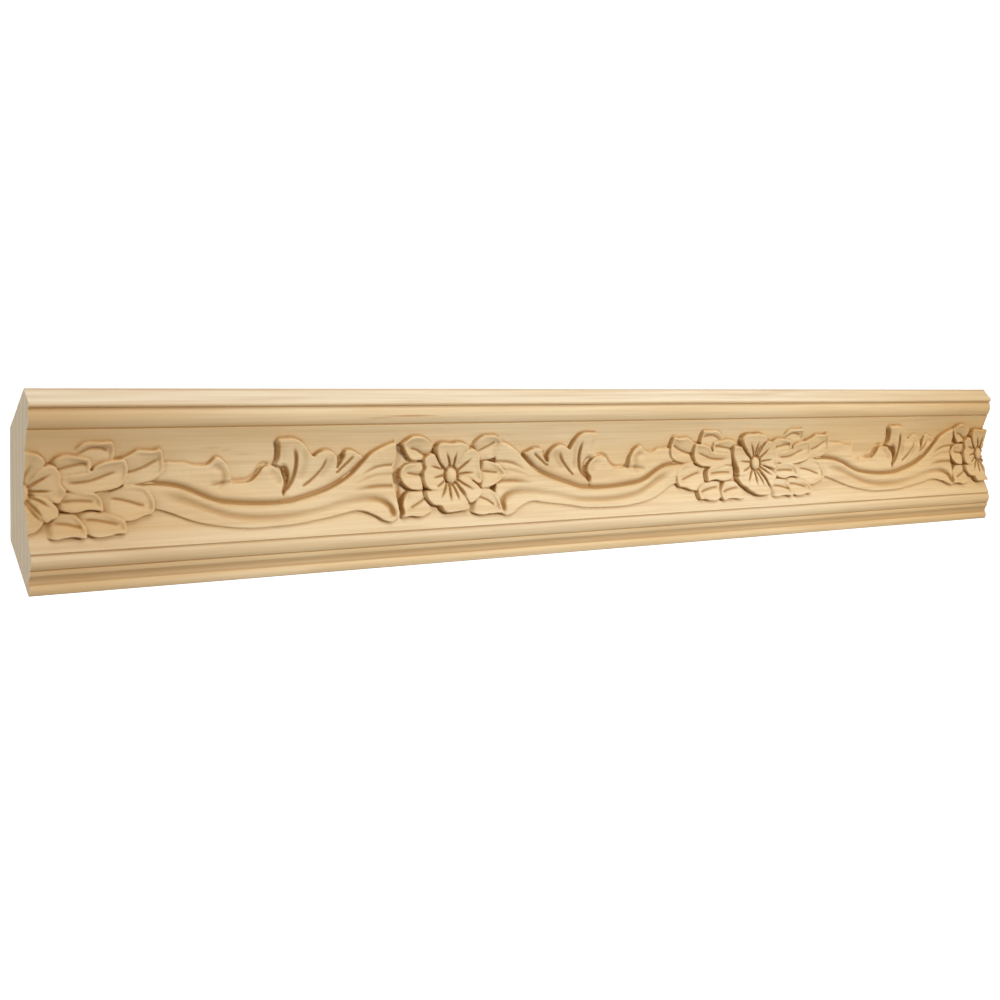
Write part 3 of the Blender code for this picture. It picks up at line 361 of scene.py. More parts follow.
class Relief:  # height of the carving over the cove, on a grid of places, and how deep its lines are cut, which sets the painted shade in them
    def __init__(self, u, v):
        self.u, self.v = np.meshgrid(u, v)
        self.rise, self.cut = np.zeros(self.u.shape), np.zeros(self.u.shape)

    def window(self, path, margin):  # rows and columns of the grid round a path
        low, high = path.min(axis=0) - margin, path.max(axis=0) + margin
        return tuple(slice(np.searchsorted(places, low[k]), np.searchsorted(places, high[k], "right"))
                     for places, k in ((self.v[:, 0], 1), (self.u[0], 0)))

    def layShape(self, outline, surface, edge, stopCut=None, fade=None):
        box = self.window(outline, 4.0)
        u, v = self.u[box], self.v[box]
        away, _, inside = nearestOn(u, v, outline, True)
        show = 1.0 if fade is None else fade(u, v)
        depth = finish["stopCut"] if stopCut is None else stopCut
        below = self.rise[box] - np.where(inside, 0.0, depth * show * np.exp(-away / 1.1))
        roll = 1.0 - np.clip(away / edge, 0.0, 1.0)
        crown = np.sqrt(1.0 - 0.8 * roll ** 2)
        cover = np.where(inside, easeStep(away / finish["wall"] + 0.12), 0.0) * show
        self.rise[box] = below * (1.0 - cover) + surface(u, v, away) * crown * cover
        self.cut[box] *= 1.0 - cover

    # mark: how much of the depth counts towards the painted shade of the cut
    def lower(self, box, depth, mark=1.0):
        self.rise[box] -= depth
        self.cut[box] += mark * depth

    def cutLine(self, points, width, depth, ends=(0.2, 0.15)):  # V cut that runs out at both ends
        path = curveThrough(points)
        box = self.window(path, 2.5 * width)
        away, along, _ = nearestOn(self.u[box], self.v[box], path, False)
        fade = easeStep(along / ends[0] + 0.1) * easeStep((1.0 - along) / ends[1] + 0.1)
        self.lower(box, depth * fade * np.maximum(1.0 - away / (1.5 * width), 0.0) ** 1.3)

    def cutHollow(self, points, width, depth):  # round gouge cut
        path = curveThrough(points)
        box = self.window(path, 3.0 * width)
        away, along, _ = nearestOn(self.u[box], self.v[box], path, False)
        fade = easeStep(along / 0.3) * easeStep((1.0 - along) / 0.25)
        self.lower(box, depth * fade * np.exp(-(away / width) ** 2), 0.35)

    def sinkAt(self, place, size, depth):
        box = self.window(np.array([place, place]), 3.0 * size)
        gap = np.hypot(self.u[box] - place[0], self.v[box] - place[1])
        self.rise[box] -= depth * np.exp(-(gap / size) ** 2)


def carveLeaf(relief, origin, leaf):
    outline, veinPoints, startRise, endRise = leaf
    outline = curveThrough(np.array(outline) + origin, True)
    veinPoints = np.array(veinPoints) + origin
    vein = curveThrough(veinPoints)
    base, axis = vein[0], vein[-1] - vein[0]

    def along(u, v):
        return ((u - base[0]) * axis[0] + (v - base[1]) * axis[1]) / (axis @ axis)

    def surface(u, v, away):
        t = along(u, v)
        tip = easeStep((t - 0.45) / 0.45)
        gap, _, _ = nearestOn(u, v, vein, False)
        top = startRise + (endRise - startRise) * easeStep(t / 1.1)
        top += leaves["lip"] * np.exp(-((away - 1.5) / 1.1) ** 2) * tip
        top -= leaves["cup"] * easeStep((away - 1.6) / 2.4) * easeStep((t - 0.2) / 0.6)
        return top - leaves["fold"] * np.exp(-(gap / 3.2) ** 2)

    relief.layShape(outline, surface, leaves["edge"], fade=lambda u, v: easeStep(along(u, v) / 0.3 + 0.7))
    relief.cutLine(veinPoints, leaves["veinWidth"], leaves["veinDepth"])


def alongLine(path, u):
    return np.interp(u, path[:, 0], path[:, 1])


def carveStem(relief):
    channel, lower = curveThrough(stem["channel"]), curveThrough(stem["lowerEdge"])
    highRise, lowRise, endRise = stem["rise"]
    start, gain = stem["lobeRise"]
    relief.layShape(curveThrough(stem["lobe"], True),
                    lambda u, v, away: start + gain * np.maximum(easeStep((u - 134) / 22),
                                                                 easeStep((v - 59) / 9)),
                    stem["curlEdge"], fade=lambda u, v: easeStep((u - 104) / 14))
    relief.cutHollow(*stem["lobeHollow"])
    relief.cutLine(*stem["lobeLine"], ends=(0.3, 0.05))
    start, gain = stem["hookRise"]
    relief.layShape(curveThrough(stem["hook"], True),
                    lambda u, v, away: start + gain * easeStep((v - 44) / 18)
                    + gain * easeStep((u - 100) / 24) * easeStep((62 - v) / 10),
                    stem["curlEdge"],
                    fade=lambda u, v: 1.0 - easeStep((v - 56) / 8) * easeStep((u - 112) / 8))
    relief.cutHollow(*stem["hookHollow"])
    low, high = acanthus["rise"]
    relief.layShape(curveThrough(acanthus["outline"], True),
                    lambda u, v, away: low + (high - low) * easeStep((66 - v) / 26), acanthus["edge"])
    for hollow in acanthus["hollows"]:
        relief.cutHollow(*hollow)
    for vein in acanthus["veins"]:
        relief.cutLine(*vein)

    body = np.vstack((channel[::2], stem["end"], lower[::-2]))

    def bodyRise(u, v, away):
        q = (v - alongLine(channel, u)) / np.maximum(alongLine(lower, u) - alongLine(channel, u), 1.0)
        wide = easeStep((u - 205) / 25)
        slope = highRise + (lowRise - highRise) * easeStep((q - 0.45) / 0.5)
        return slope * (1 - wide) + (endRise - 0.5 * easeStep((q - 0.5) / 0.4)) * wide

    relief.layShape(body, bodyRise, stem["edge"], stem["stopCut"])
    over = alongLine(channel, relief.u) - relief.v  # positive above the channel's line
    upWide, downWide = stem["channelWidth"]
    slope = np.gradient(alongLine(channel, relief.u[0]), relief.u[0])
    over = over / np.hypot(1.0, slope)
    cut = np.exp(-np.where(over > 0, over / upWide, over / downWide) ** 2)
    inRun = easeStep((relief.u - 62) / 12) * easeStep((257 - relief.u) / 8)
    relief.lower(..., np.minimum(stem["channelDepth"] * cut * inRun, np.maximum(relief.rise + 0.2, 0.0)), 0.3)
    for groove in stem["fanGrooves"]:
        relief.cutLine(*groove, ends=(0.02, 0.5))
    relief.cutLine(*stem["endLine"], ends=(0.1, 0.1))
    flute = curveThrough(stem["flute"])
    away, along, _ = nearestOn(relief.u, relief.v, flute, False)
    start, finishAt = easeStep(along * 6), easeStep((along - 0.78) / 0.15)
    wide = stem["fluteWidth"] * (1 + 0.35 * easeStep((0.3 - along) / 0.2))
    calm = 1 - 0.45 * np.exp(-((along - 0.68) / 0.12) ** 2)
    deeper = stem["fluteEnd"] * finishAt * easeStep((1.02 - along) / 0.05)
    strength = start * calm * (stem["fluteDepth"] + deeper)
    relief.lower(..., strength * np.exp(-(away / wide) ** 2), 0.3)


def carveFlower(relief, centre, kind):
    centre = np.array(centre)
    inner, outer = flower["rise"]
    for order, (outline, grooves) in enumerate(flower[kind]):
        def surface(u, v, away):
            r = np.hypot(u - centre[0], v - centre[1])
            rim = flower["rim"] * np.exp(-((away - 2.0) / 1.3) ** 2) * easeStep((r - 14) / 6)
            return inner + (outer + flower["overlap"] * order - inner) * easeStep((r + 2) / 21) + rim

        relief.layShape(curveThrough(np.array(outline) + centre, True), surface, flower["edge"])
        for path in grooves:
            relief.cutLine(np.array(path) + centre, *flower["groove"], ends=flower["grooveEnds"])
    for place, size, depth in flower["hollows"]:
        relief.sinkAt(centre + place, size, depth)
    halfWidth, halfHeight, domeRise = flower["dome"]
    middle, width, paintedShade = flower["domeRing"]
    gap = np.hypot((relief.u - centre[0]) / halfWidth, (relief.v - centre[1]) / halfHeight)
    ring = np.exp(-((gap - middle) / width) ** 2)
    dome = domeRise * np.sqrt(np.clip(1.0 - (gap / middle) ** 2, 0.0, 1.0))
    relief.rise = np.where(gap < 1.0, dome, relief.rise - flower["domeGap"] * ring)
    # painted shade in the ring round the dome, added to the cut lines
    relief.cut = np.where(gap < 1.0, 0.0, relief.cut) + paintedShade * ring


def coveDepth(v):  # the plain hollow behind the carving
    (topV, topDepth), (bottomV, bottomDepth) = profile["fieldTop"], profile["fieldBottom"]
    t = (v - topV) / (bottomV - topV)
    return topDepth + (bottomDepth - topDepth) * t - profile["fieldSag"] * 4 * t * (1 - t)


def sample(grid, x, y):  # bilinear reading of a grid at fractional places
    x, y = np.clip(x, 0, grid.shape[1] - 1.001), np.clip(y, 0, grid.shape[0] - 1.001)
    i, j = x.astype(int), y.astype(int)
    fx, fy = x - i, y - j
    upper = grid[j, i] * (1 - fx) + grid[j, i + 1] * fx
    lower = grid[j + 1, i] * (1 - fx) + grid[j + 1, i + 1] * fx
    return upper * (1 - fy) + lower * fy


def carvedField():
    step, (patternStart, patternEnd) = finish["gridStep"], finish["patternEnds"]
    topV, bottomV = profile["fieldTop"][0], profile["fieldBottom"][0]
    u = np.linspace(0.0, profile["length"], round(profile["length"] / step) + 1)
    v = np.linspace(topV, bottomV, round((bottomV - topV) / step) + 1)
    fine = finish["drawnStep"]
    branch = Relief(np.arange(patternStart, patternEnd, fine), np.arange(topV, bottomV, fine))
    carveStem(branch)
    for leaf in leaves["large"]:
        carveLeaf(branch, (0.0, 0.0), leaf)
    print("one stem with its leaves carved")
    whole = Relief(u, v)
    nearest = np.min([np.abs(whole.u - centre[0]) for centre, _ in flower["places"]], axis=0)
    until, run = finish["steadyUntil"]
    stray = easeStep(nearest / finish["steadyNear"]) * easeStep((whole.u - until) / run)
    du, dv = (most * stray * softNoise(whole.u, whole.v, cell, seed) for most, cell, seed in finish["drift"])
    shown, drawn = np.array(stretches, dtype=float).T
    steps = np.linspace(-finish["blend"], finish["blend"], 9)
    along = np.mean([np.interp(whole.u + du + shift, shown, drawn) for shift in steps], axis=0)
    drawnAt = (along - patternStart) / fine, (whole.v + dv - topV) / fine
    whole.rise, whole.cut = sample(branch.rise, *drawnAt), sample(branch.cut, *drawnAt)
    for (start, end), lowest, share in calmed:
        part = easeStep((whole.u - start) / 3) * easeStep((end - whole.u) / 5)
        part *= easeStep((lowest - whole.v) / 6)
        for grid in (whole.rise, whole.cut):
            grid *= 1 - (1 - share) * part
    for centre, kind in flower["places"]:
        for leaf in leaves["small"] if kind == "small" else []:
            carveLeaf(whole, centre, leaf)
        carveFlower(whole, centre, kind)
    print("flowers carved")
    start, run = finish["topDropFrom"]
    down = finish["topDrop"] * easeStep((start - whole.v) / run)
    for middle, reach, shift in nudges:
        far = ((whole.u - middle[0]) / reach[0]) ** 2 + ((whole.v - middle[1]) / reach[1]) ** 2
        down += shift * np.exp(-far)
    drawnAt = whole.u / (u[1] - u[0]), (whole.v - down - topV) / (v[1] - v[0])
    whole.rise, whole.cut = sample(whole.rise, *drawnAt), sample(whole.cut, *drawnAt)
    whole.rise *= finish["reliefScale"]
    whole.rise *= finish["cutRise"] + (1 - finish["cutRise"]) * easeStep(whole.u / finish["cutRun"])
    ripple = sum(share * softNoise(whole.u, whole.v, cell, seed) for share, cell, seed in finish["ripples"])
    everywhere, added = finish["rippleShares"]
    whole.rise += finish["knife"] * ripple * (everywhere + added * easeStep(whole.rise / 0.6))
    margin = easeStep((v - topV) / 1.6) * easeStep((bottomV - v) / 1.6)
    return u, v, coveDepth(v)[:, None] + whole.rise * margin[:, None], whole.cut * margin[:, None]


def blurred(grid, radius, axes=(0, 1)):  # running mean
    for axis in axes:
        padded = np.pad(grid, [(radius + 1, radius) if k == axis else (0, 0) for k in (0, 1)], mode="edge")
        total = np.cumsum(padded, axis=axis)
        span = 2 * radius + 1
        grid = (np.take(total, range(span, total.shape[axis]), axis)
                - np.take(total, range(total.shape[axis] - span), axis)) / span
    return grid


middleV = (profile["topBevel"] + profile["bottomEdge"] - profile["bottomBevel"]) / 2  # the origin's height


def place(u, v, depth):
    return Vector((u - profile["length"] / 2, -depth, middleV - v)) * mm


def thinnedField(u, v, depth):
    rows, columns = depth.shape
    gridU, gridV = np.meshgrid(u, v)
    points = np.stack((gridU - profile["length"] / 2, -depth, middleV - gridV), -1).reshape(-1, 3) * mm
    first = (np.arange(rows - 1)[:, None] * columns + np.arange(columns - 1)).ravel()
    quads = np.stack((first, first + columns, first + columns + 1, first + 1), -1)
    data = bpy.data.meshes.new("field")
    data.from_pydata(points, [], quads)
    field = bpy.data.objects.new("field", data)
    bpy.context.collection.objects.link(field)
    thin = field.modifiers.new("thin", "DECIMATE")
    thin.ratio = finish["fieldTriangles"] / (2 * len(quads))
    thin.use_collapse_triangulate = True
    shrunk = bpy.data.meshes.new_from_object(field.evaluated_get(bpy.context.evaluated_depsgraph_get()))
    bpy.data.objects.remove(field)
    mesh = bmesh.new()
    mesh.from_mesh(shrunk)
    print("carved field thinned to", len(mesh.faces), "triangles")
    return mesh


def borderChains(sheet):  # top, right, bottom and left edge of the field
    top, bottom = profile["fieldTop"], profile["fieldBottom"]
    length = profile["length"]
    corners = [place(0, *top), place(length, *top), place(length, *bottom), place(0, *bottom)]
    border = [vert for vert in sheet.verts if vert.is_boundary]
    ends = [min(border, key=lambda vert: (vert.co - corner).length) for corner in corners]
    chains = []
    for start, stop in zip(ends, ends[1:] + ends[:1]):
        for edge in [e for e in start.link_edges if e.is_boundary]:
            chain = [start, edge.other_vert(start)]
            while chain[-1] not in ends:
                edge = next(e for e in chain[-1].link_edges if e.is_boundary and e is not edge)
                chain.append(edge.other_vert(chain[-1]))
            if chain[-1] is stop:
                chains.append(chain)
    for end, corner in zip(ends, corners):
        end.co = corner
    for chain in (chains[0], chains[2]):
        for vert in chain:
            vert.co.yz = chain[0].co.yz
    for chain in (chains[1], chains[3]):
        for vert in chain:
            vert.co.x = chain[0].co.x
    return chains[0], chains[1], chains[2][::-1], chains[3][::-1]


def bandPoints(bands, last):
    points = []
    for band, after in zip(bands, bands[1:] + [last]):
        start, end, swell = np.array(band[:2]), np.array(after[:2]), band[2]
        run = end - start
        normal = np.array((-run[1], run[0])) / max(np.hypot(*run), 1e-9)
        steps = profile["arcSteps"] if swell else 1
        for t in np.arange(steps) / steps:
            points.append(tuple(start + run * t + normal * swell * 4 * t * (1 - t)))
    return points


def zipRows(mesh, upper, lower, material):
    i = j = 0
    while i < len(upper) - 1 or j < len(lower) - 1:
        if j == len(lower) - 1 or (i < len(upper) - 1 and upper[i + 1].co.x <= lower[j + 1].co.x):
            face = mesh.faces.new((upper[i], lower[j], upper[i + 1]))
            i += 1
        else:
            face = mesh.faces.new((upper[i], lower[j], lower[j + 1]))
            j += 1
        face.material_index = material


def softenEdges(mesh):  # the carving is smooth, the cuts, quirks and corners of the bands are crisp
    topZ, bottomZ = (middleV - profile["fieldTop"][0]) * mm, (middleV - profile["fieldBottom"][0]) * mm

    def carved(face):
        return face.material_index == 0 and bottomZ < face.calc_center_median().z < topZ

    for face in mesh.faces:
        face.smooth = True
    for edge in mesh.edges:
        inField = all(carved(face) for face in edge.link_faces)
        edge.smooth = edge.calc_face_angle(0.0) < math.radians(75 if inField else 16)


def buildMoulding(materials):
    u, v, depth, marks = carvedField()
    mesh = thinnedField(u, v, depth)
    fieldTop, rightCut, fieldBottom, leftCut = borderChains(mesh)
    columns = np.linspace(0.0, profile["length"], profile["columns"])

    def addRow(bandV, bandDepth):
        return [mesh.verts.new(place(x, bandV, bandDepth)) for x in columns]

    upper = [addRow(*point) for point in bandPoints(profile["upperBands"], profile["fieldTop"])]
    lower = [addRow(*point) for point in bandPoints(profile["lowerBands"], profile["lowerBands"][-1])]
    back = [addRow(profile["bottomEdge"] - profile["bottomBevel"], 0.0), addRow(profile["topBevel"], 0.0)]
    sheets = ((upper + [fieldTop], 0), ([fieldBottom] + lower, 0), (lower[-1:] + back + upper[:1], 2))
    for rows, material in sheets:
        for row, below in zip(rows, rows[1:]):
            zipRows(mesh, row, below, material)
    for side, cut in ((0, leftCut), (-1, rightCut)):
        corners = [row[side] for row in upper] + cut + [row[side] for row in lower + back]
        mesh.faces.new(corners).material_index = 1
    mesh.normal_update()
    bmesh.ops.triangulate(mesh, faces=[face for face in mesh.faces if len(face.verts) > 3])
    bmesh.ops.recalc_face_normals(mesh, faces=mesh.faces)
    softenEdges(mesh)
    data = bpy.data.meshes.new("carved_face_moulding")
    mesh.to_mesh(data)
    mesh.free()
    addPaintedShade(data, u, v, depth, marks)
    piece = bpy.data.objects.new("carved_face_moulding", data)
    bpy.context.collection.objects.link(piece)
    for material in materials:
        data.materials.append(material)
    print("moulding built:", len(data.polygons), "triangles")
    return piece


def addPaintedShade(data, u, v, depth, marks):  # painted shade at each point: on walls that face left, away from the key lamp, in cut lines and in deep places
    step = finish["gridStep"]
    start, full = finish["sideShade"]
    wall = np.clip((np.gradient(depth, step, axis=1) - start) / (full - start), 0, 1)
    near, wide = [np.clip((blurred(depth, round(reach / step), (0,)) - depth) / deep, -1, 1)
                  for reach, deep in finish["hollowReach"]]
    wallDark, lineDark, nearDark, wideDark = finish["paintedShade"]
    hollow = wallDark * wall + lineDark * np.clip(marks / finish["lineFull"], 0, 1)
    hollow = hollow + nearDark * near + wideDark * wide
    hollow = np.clip(blurred(hollow, 1), -1.0, 1.0)
    points = np.empty(len(data.vertices) * 3, dtype=np.float32)
    data.vertices.foreach_get("co", points)
    points = points.reshape(-1, 3) / mm
    pointU, pointV = points[:, 0] + profile["length"] / 2, middleV - points[:, 2]
    values = sample(hollow, pointU / (u[1] - u[0]), (pointV - v[0]) / (v[1] - v[0]))
    # painted shade in the quirks and hollows between the plain bands
    bandV, bandDepth = np.array(bandPoints(profile["upperBands"], profile["fieldTop"])
                                + [profile["fieldTop"], profile["fieldBottom"]]
                                + bandPoints(profile["lowerBands"][:-1], profile["lowerBands"][-2])).T
    fine, (strength, most) = 0.1, finish["bandDark"]
    places = np.arange(0.0, profile["faceHeight"], fine)
    plain = np.interp(places, bandV, bandDepth)[:, None]
    groove = sum((blurred(plain, round(reach / fine), (0,)) - plain)[:, 0] / reach
                 for reach in finish["bandReach"])
    banded = np.interp(pointV, places, np.minimum(strength * groove, most))
    values = np.where((pointV < v[0] + fine) | (pointV > v[-1] - fine), banded, values)
    values = np.where(points[:, 1] > -finish["frontFrom"], 0.0, values)
    data.attributes.new("hollow", "FLOAT", "POINT").data.foreach_set("value", values.astype(np.float32))


# Colours and figure of the bare softwood, with a painted highlight on the lip and painted shade in the
# carving and towards both ends
wood = {
    "pale": (0.775, 0.60, 0.36, 1),
    "mid": (0.70, 0.50, 0.255, 1),
    "paintedHighlight": (0.86, 0.74, 0.55, 1),  # painted highlight on the lip, which faces up to the lamps, and in part on the plain strip below the carving
    "line": (0.52, 0.30, 0.12, 1),
    "orange": (0.50, 0.24, 0.075, 1),  # a few short resin streaks
    # painted shade: the colour mixed in on walls turned from the key lamp, in cut lines, in hollows and
    # between the bands
    "creviceShade": (0.37, 0.18, 0.04, 1),
    "leftEndShade": (0.79, 0.69, 0.56, 1),  # painted shade: darker towards the left end, and darker and more golden towards the right end, where the light falls off
    "rightEndShade": (0.97, 0.86, 0.67, 1),
    "leftShadeSpan": (-0.27, -0.43),
    "rightShadeSpan": (0.17, 0.44),
    "endGrain": (0.73, 0.60, 0.435, 1),
    "endDark": (0.60, 0.475, 0.31, 1),
    "endShares": (0.5, 0.35),  # of growth bands and of specks
    "endRoughness": 0.75,
    "roughness": 0.62,
    "sheen": 0.35,  # specular level
    "fibreBump": 0.00008,
    "highlightFrom": (0.0470, 0.0500),  # heights over which the painted highlight on the lip sets in
    "paleStrip": ((-0.027, -0.033), (-0.048, -0.042)),
    "highlightShares": (0.9, 0.3),  # strength of the painted highlight on the lip and on the strip
    "figure": (0.32, 0.14, 0.34),  # shares of streaks, fine fibres and growth lines
    "broad": ((16.0, (0.2, 1.8, 1.8)), (0.36, 0.64)),  # noise: scale, stretch and detail, and its levels
    "streaky": ((420.0, (0.022, 1.0, 1.0), 4.0), (0.44, 0.70)),
    "fine": ((1100.0, (0.02, 1.0, 1.0), 2.0), (0.40, 0.75)),
    "linePatches": ((16.0, (0.3, 1.0, 1.0)), (0.44, 0.64)),
    "specks": ((600.0, (1.0, 1.0, 0.25)), (0.45, 0.65)),
    # how much of the painted shade is mixed in, and the span of stored values it rises over
    "creviceShadeShare": 0.92,
    "creviceShadeSpan": (0.04, 0.8),
    "streaks": [  # middle, half size and strength
        ((-0.193, -0.03, 0.0393), (0.026, 0.05, 0.0008), 0.95),
        ((-0.219, -0.03, 0.0382), (0.014, 0.05, 0.0005), 0.6),
        ((-0.424, -0.03, -0.0546), (0.012, 0.05, 0.0004), 0.8),
        ((-0.338, -0.03, 0.0204), (0.009, 0.05, 0.0011), 0.3),
        ((-0.328, -0.03, 0.0188), (0.005, 0.05, 0.0010), 0.3),
        ((-0.316, -0.03, 0.0160), (0.013, 0.05, 0.0010), 0.3),
    ],
}


class Nodes:  # short hand for wiring a node tree
    def __init__(self, material):
        material.use_nodes = True
        self.tree = material.node_tree
        self.shader = self.tree.nodes["Principled BSDF"]

    def add(self, kind, inputs=None, **settings):
        node = self.tree.nodes.new(kind)
        for name, value in settings.items():
            setattr(node, name, value)
        for name, value in (inputs or {}).items():
            self.feed(node.inputs[name], value)
        return node

    def feed(self, socket, value):
        if isinstance(value, bpy.types.NodeSocket):
            self.tree.links.new(value, socket)
        else:
            socket.default_value = value

    def math(self, operation, *values):
        node = self.add("ShaderNodeMath", operation=operation)
        for socket, value in zip(node.inputs, values):
            self.feed(socket, value)
        return node.outputs[0]

    def mix(self, share, first, second, blend="MIX"):
        node = self.add("ShaderNodeMix", data_type="RGBA", blend_type=blend)
        for socket, value in zip((node.inputs[0], node.inputs[6], node.inputs[7]), (share, first, second)):
            self.feed(socket, value)
        return node.outputs[2]

    def noise(self, scale, stretch, detail=3.0):
        coordinates = self.add("ShaderNodeTexCoord").outputs["Object"]
        mapped = self.add("ShaderNodeMapping", {"Vector": coordinates, "Scale": stretch})
        inputs = {"Vector": mapped.outputs[0], "Scale": scale, "Detail": detail}
        return self.add("ShaderNodeTexNoise", inputs).outputs[0]

    def patches(self, noise, levels):
        return self.span(self.noise(*noise), *levels)

    def span(self, value, low, high):  # 0 at low and 1 at high
        return self.add("ShaderNodeMapRange", {"Value": value, "From Min": low, "From Max": high}).outputs[0]


def woodMaterial(name, carved):
    material = bpy.data.materials.new(name)
    nodes = Nodes(material)
    broad, streaks, fine = (nodes.patches(*wood[kind]) for kind in ("broad", "streaky", "fine"))
    place = nodes.add("ShaderNodeTexCoord").outputs["Object"]
    split = nodes.add("ShaderNodeSeparateXYZ", {"Vector": place})
    warp = nodes.math("MULTIPLY", nodes.noise(6.0, (0.55, 1.5, 1.5), 2.0), 26.0)
    ring = nodes.math("ADD", nodes.math("MULTIPLY", split.outputs[2], 150.0), warp)
    ring = nodes.math("ADD", ring, nodes.math("MULTIPLY", split.outputs[1], 300.0))
    lines = nodes.span(nodes.math("SINE", ring), 0.5, 1.0)
    lines = nodes.math("MULTIPLY", lines, nodes.patches(*wood["linePatches"]))
    colour = nodes.mix(broad, wood["pale"], wood["mid"])
    # painted shade towards both ends, where the light falls off
    leftShade, rightShade = (nodes.span(split.outputs[0], *wood[side]) for side in ("leftShadeSpan", "rightShadeSpan"))
    colour = nodes.mix(leftShade, colour, wood["leftEndShade"], "MULTIPLY")
    if carved:
        # painted highlight: the lip and the strip below the carving, which face up to the lamps, are made
        # paler towards cream
        lipShare, stripShare = wood["highlightShares"]
        paintedHighlight = nodes.math("MULTIPLY", nodes.span(split.outputs[2], *wood["highlightFrom"]), lipShare)
        strip = [nodes.span(split.outputs[2], *ends) for ends in wood["paleStrip"]]
        paintedHighlight = nodes.math("ADD", paintedHighlight, nodes.math("MULTIPLY", nodes.math("MULTIPLY", *strip), stripShare))
        colour = nodes.mix(paintedHighlight, colour, wood["paintedHighlight"])
    colour = nodes.mix(rightShade, colour, wood["rightEndShade"], "MULTIPLY")
    for marks, share in zip((streaks, fine, lines), wood["figure"]):
        colour = nodes.mix(nodes.math("MULTIPLY", marks, share), colour, wood["line"])
    if carved:
        for middle, size, strength in wood["streaks"]:
            offset = nodes.add("ShaderNodeVectorMath", {0: place, 1: middle}, operation="SUBTRACT").outputs[0]
            scaled = nodes.add("ShaderNodeVectorMath", {0: offset, 1: size}, operation="DIVIDE").outputs[0]
            reach = nodes.add("ShaderNodeVectorMath", {0: scaled}, operation="LENGTH").outputs["Value"]
            share = nodes.math("MULTIPLY", nodes.span(reach, 1.0, 0.2), strength)
            colour = nodes.mix(share, colour, wood["orange"])
        # painted shade: darker in the cut lines, hollows and left-facing walls, by the value stored at each
        # point
        hollow = nodes.add("ShaderNodeAttribute", attribute_name="hollow").outputs["Fac"]
        share = nodes.math("MULTIPLY", nodes.span(hollow, *wood["creviceShadeSpan"]), wood["creviceShadeShare"])
        colour = nodes.mix(share, colour, wood["creviceShade"])
    nodes.feed(nodes.shader.inputs["Base Color"], colour)
    nodes.shader.inputs["Roughness"].default_value = wood["roughness"]
    nodes.shader.inputs["Specular IOR Level"].default_value = wood["sheen"]
    fibres = nodes.noise(700.0, (0.03, 1.0, 1.0), 4.0)
    bump = nodes.add("ShaderNodeBump", {"Height": fibres, "Strength": 0.6, "Distance": wood["fibreBump"]})
    nodes.feed(nodes.shader.inputs["Normal"], bump.outputs[0])
    return material


def endGrainMaterial():
    material = bpy.data.materials.new("end_grain")
    nodes = Nodes(material)
    place = nodes.add("ShaderNodeTexCoord").outputs["Object"]
    split = nodes.add("ShaderNodeSeparateXYZ", {"Vector": place})
    sway = nodes.math("MULTIPLY", nodes.noise(9.0, (1.0, 1.0, 0.5)), 16.0)
    ring = nodes.math("ADD", nodes.math("MULTIPLY", split.outputs[1], 1100.0), sway)
    bands = nodes.span(nodes.math("SINE", ring), -0.4, 1.0)
    specks = nodes.patches(*wood["specks"])
    colour = wood["endGrain"]
    for marks, share in zip((bands, specks), wood["endShares"]):
        colour = nodes.mix(nodes.math("MULTIPLY", marks, share), colour, wood["endDark"])
    nodes.feed(nodes.shader.inputs["Base Color"], colour)
    nodes.shader.inputs["Roughness"].default_value = wood["endRoughness"]
    pores = nodes.noise(800.0, (1.0, 1.0, 0.3))
    bump = nodes.add("ShaderNodeBump", {"Height": pores, "Strength": 0.5, "Distance": wood["fibreBump"]})
    nodes.feed(nodes.shader.inputs["Normal"], bump.outputs[0])
    return material


materials = [woodMaterial("carved_softwood", True), endGrainMaterial(), woodMaterial("planed_back", False)]
moulding = buildMoulding(materials)
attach(moulding, "root")
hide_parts("carved_moulding")

# White floor and surround, lamps to the right, above, to the left and behind, and the camera
studio = {
    "floorDrop": 0.55,
    "floorSize": 30.0,
    "floorShade": (0.9, 0.9, 0.9, 1),
    "floorRoughness": 0.9,
    "white": (1, 1, 1, 1),
    "whiteness": 1.05,  # of the surround where the camera sees it
    "surround": ((1.0, 0.95, 0.86, 1), 0.14, 0.34),  # soft light from all round, from below and from above
    "key": ((1.15, -2.45, 0.8), (-0.1, 0.0, 0.0), 0.24, 250.0, 36.0),  # place, aim, size, power, cone
    "above": ((0.0, -0.9, 2.0), (0.0, 0.0, 0.0), 0.8, 9.5),
    "left": ((-2.4, -0.45, 0.3), (-0.457, 0.0, 0.0), 0.8, 15.0),
    "behind": ((-0.3, 2.4, 0.2), (0.0, 0.0, 0.0), 1.0, 40.0),
    "eye": (-764.6, -887.9, 80.9),
    "turn": 37.084,  # degrees to the right of straight at the face
    "tilt": 4.179,  # degrees down
    "roll": 1.025,
    "lens": 54.495,
    "shift": -0.0334,
}


def addFloor():
    half = studio["floorSize"] / 2
    corners = [(-half, -half, 0), (half, -half, 0), (half, half, 0), (-half, half, 0)]
    data = bpy.data.meshes.new("floor")
    data.from_pydata(corners, [], [(0, 1, 2, 3)])
    floor = bpy.data.objects.new("floor", data)
    floor.location.z = -studio["floorDrop"]
    floor.visible_diffuse = False
    material = bpy.data.materials.new("pale_floor")
    nodes = Nodes(material)
    for name, value in (("Base Color", studio["floorShade"]), ("Roughness", studio["floorRoughness"]),
                        ("Emission Color", studio["white"]), ("Emission Strength", 1.0)):
        nodes.shader.inputs[name].default_value = value
    data.materials.append(material)
    bpy.context.collection.objects.link(floor)


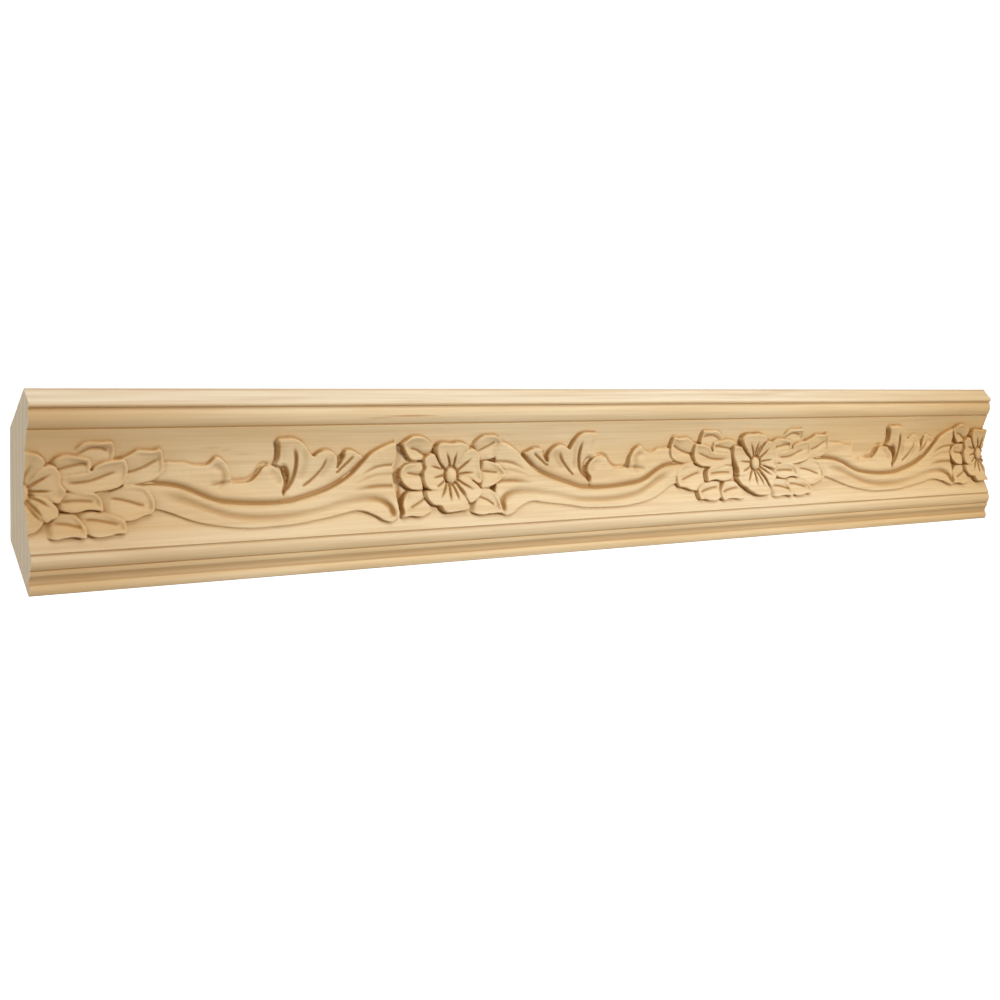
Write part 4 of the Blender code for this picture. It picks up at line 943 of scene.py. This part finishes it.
def addLamp(name, where, aim, size, power, cone=None):
    if cone is None:
        lamp = bpy.data.lights.new(name, "AREA")
        lamp.shape, lamp.size = "DISK", size
    else:
        lamp = bpy.data.lights.new(name, "SPOT")
        lamp.shadow_soft_size, lamp.spot_size, lamp.spot_blend = size, math.radians(cone), 1.0
    lamp.energy = power
    holder = bpy.data.objects.new(name, lamp)
    holder.location = where
    holder.rotation_euler = (Vector(aim) - Vector(where)).to_track_quat("-Z", "Y").to_euler()
    bpy.context.collection.objects.link(holder)


def lightSurround():
    world = bpy.data.worlds.new("studio")
    bpy.context.scene.world = world
    world.use_nodes = True
    nodes, links = world.node_tree.nodes, world.node_tree.links
    soft, white = nodes["Background"], nodes.new("ShaderNodeBackground")
    choice = nodes.new("ShaderNodeMixShader")
    colour, under, over = studio["surround"]
    height = nodes.new("ShaderNodeMapRange")
    for name, value in (("From Min", -1.0), ("To Min", under), ("To Max", over)):
        height.inputs[name].default_value = value
    split = nodes.new("ShaderNodeSeparateXYZ")
    links.new(nodes.new("ShaderNodeTexCoord").outputs["Generated"], split.inputs[0])
    links.new(split.outputs[2], height.inputs["Value"])
    links.new(height.outputs[0], soft.inputs["Strength"])
    soft.inputs["Color"].default_value = colour
    white.inputs["Color"].default_value = studio["white"]
    white.inputs["Strength"].default_value = studio["whiteness"]
    links.new(nodes.new("ShaderNodeLightPath").outputs["Is Camera Ray"], choice.inputs[0])
    links.new(soft.outputs[0], choice.inputs[1])
    links.new(white.outputs[0], choice.inputs[2])
    links.new(choice.outputs[0], nodes["World Output"].inputs["Surface"])


def addCamera():
    data = bpy.data.cameras.new("camera")
    data.sensor_width, data.lens, data.shift_y = 36.0, studio["lens"], studio["shift"]
    camera = bpy.data.objects.new("camera", data)
    camera.location = Vector(studio["eye"]) * mm
    turns = ((-studio["turn"], "Z"), (90 - studio["tilt"], "X"), (studio["roll"], "Z"))
    heading, lean, roll = (Matrix.Rotation(math.radians(angle), 3, axis) for angle, axis in turns)
    camera.rotation_euler = (heading @ lean @ roll).to_euler()
    bpy.context.collection.objects.link(camera)
    bpy.context.scene.camera = camera


addFloor()
for name in ("key", "above", "left", "behind"):
    addLamp(name, *studio[name])
lightSurround()
addCamera()
bpy.context.scene.view_settings.view_transform = "Standard"
print("floor, lights and camera placed")
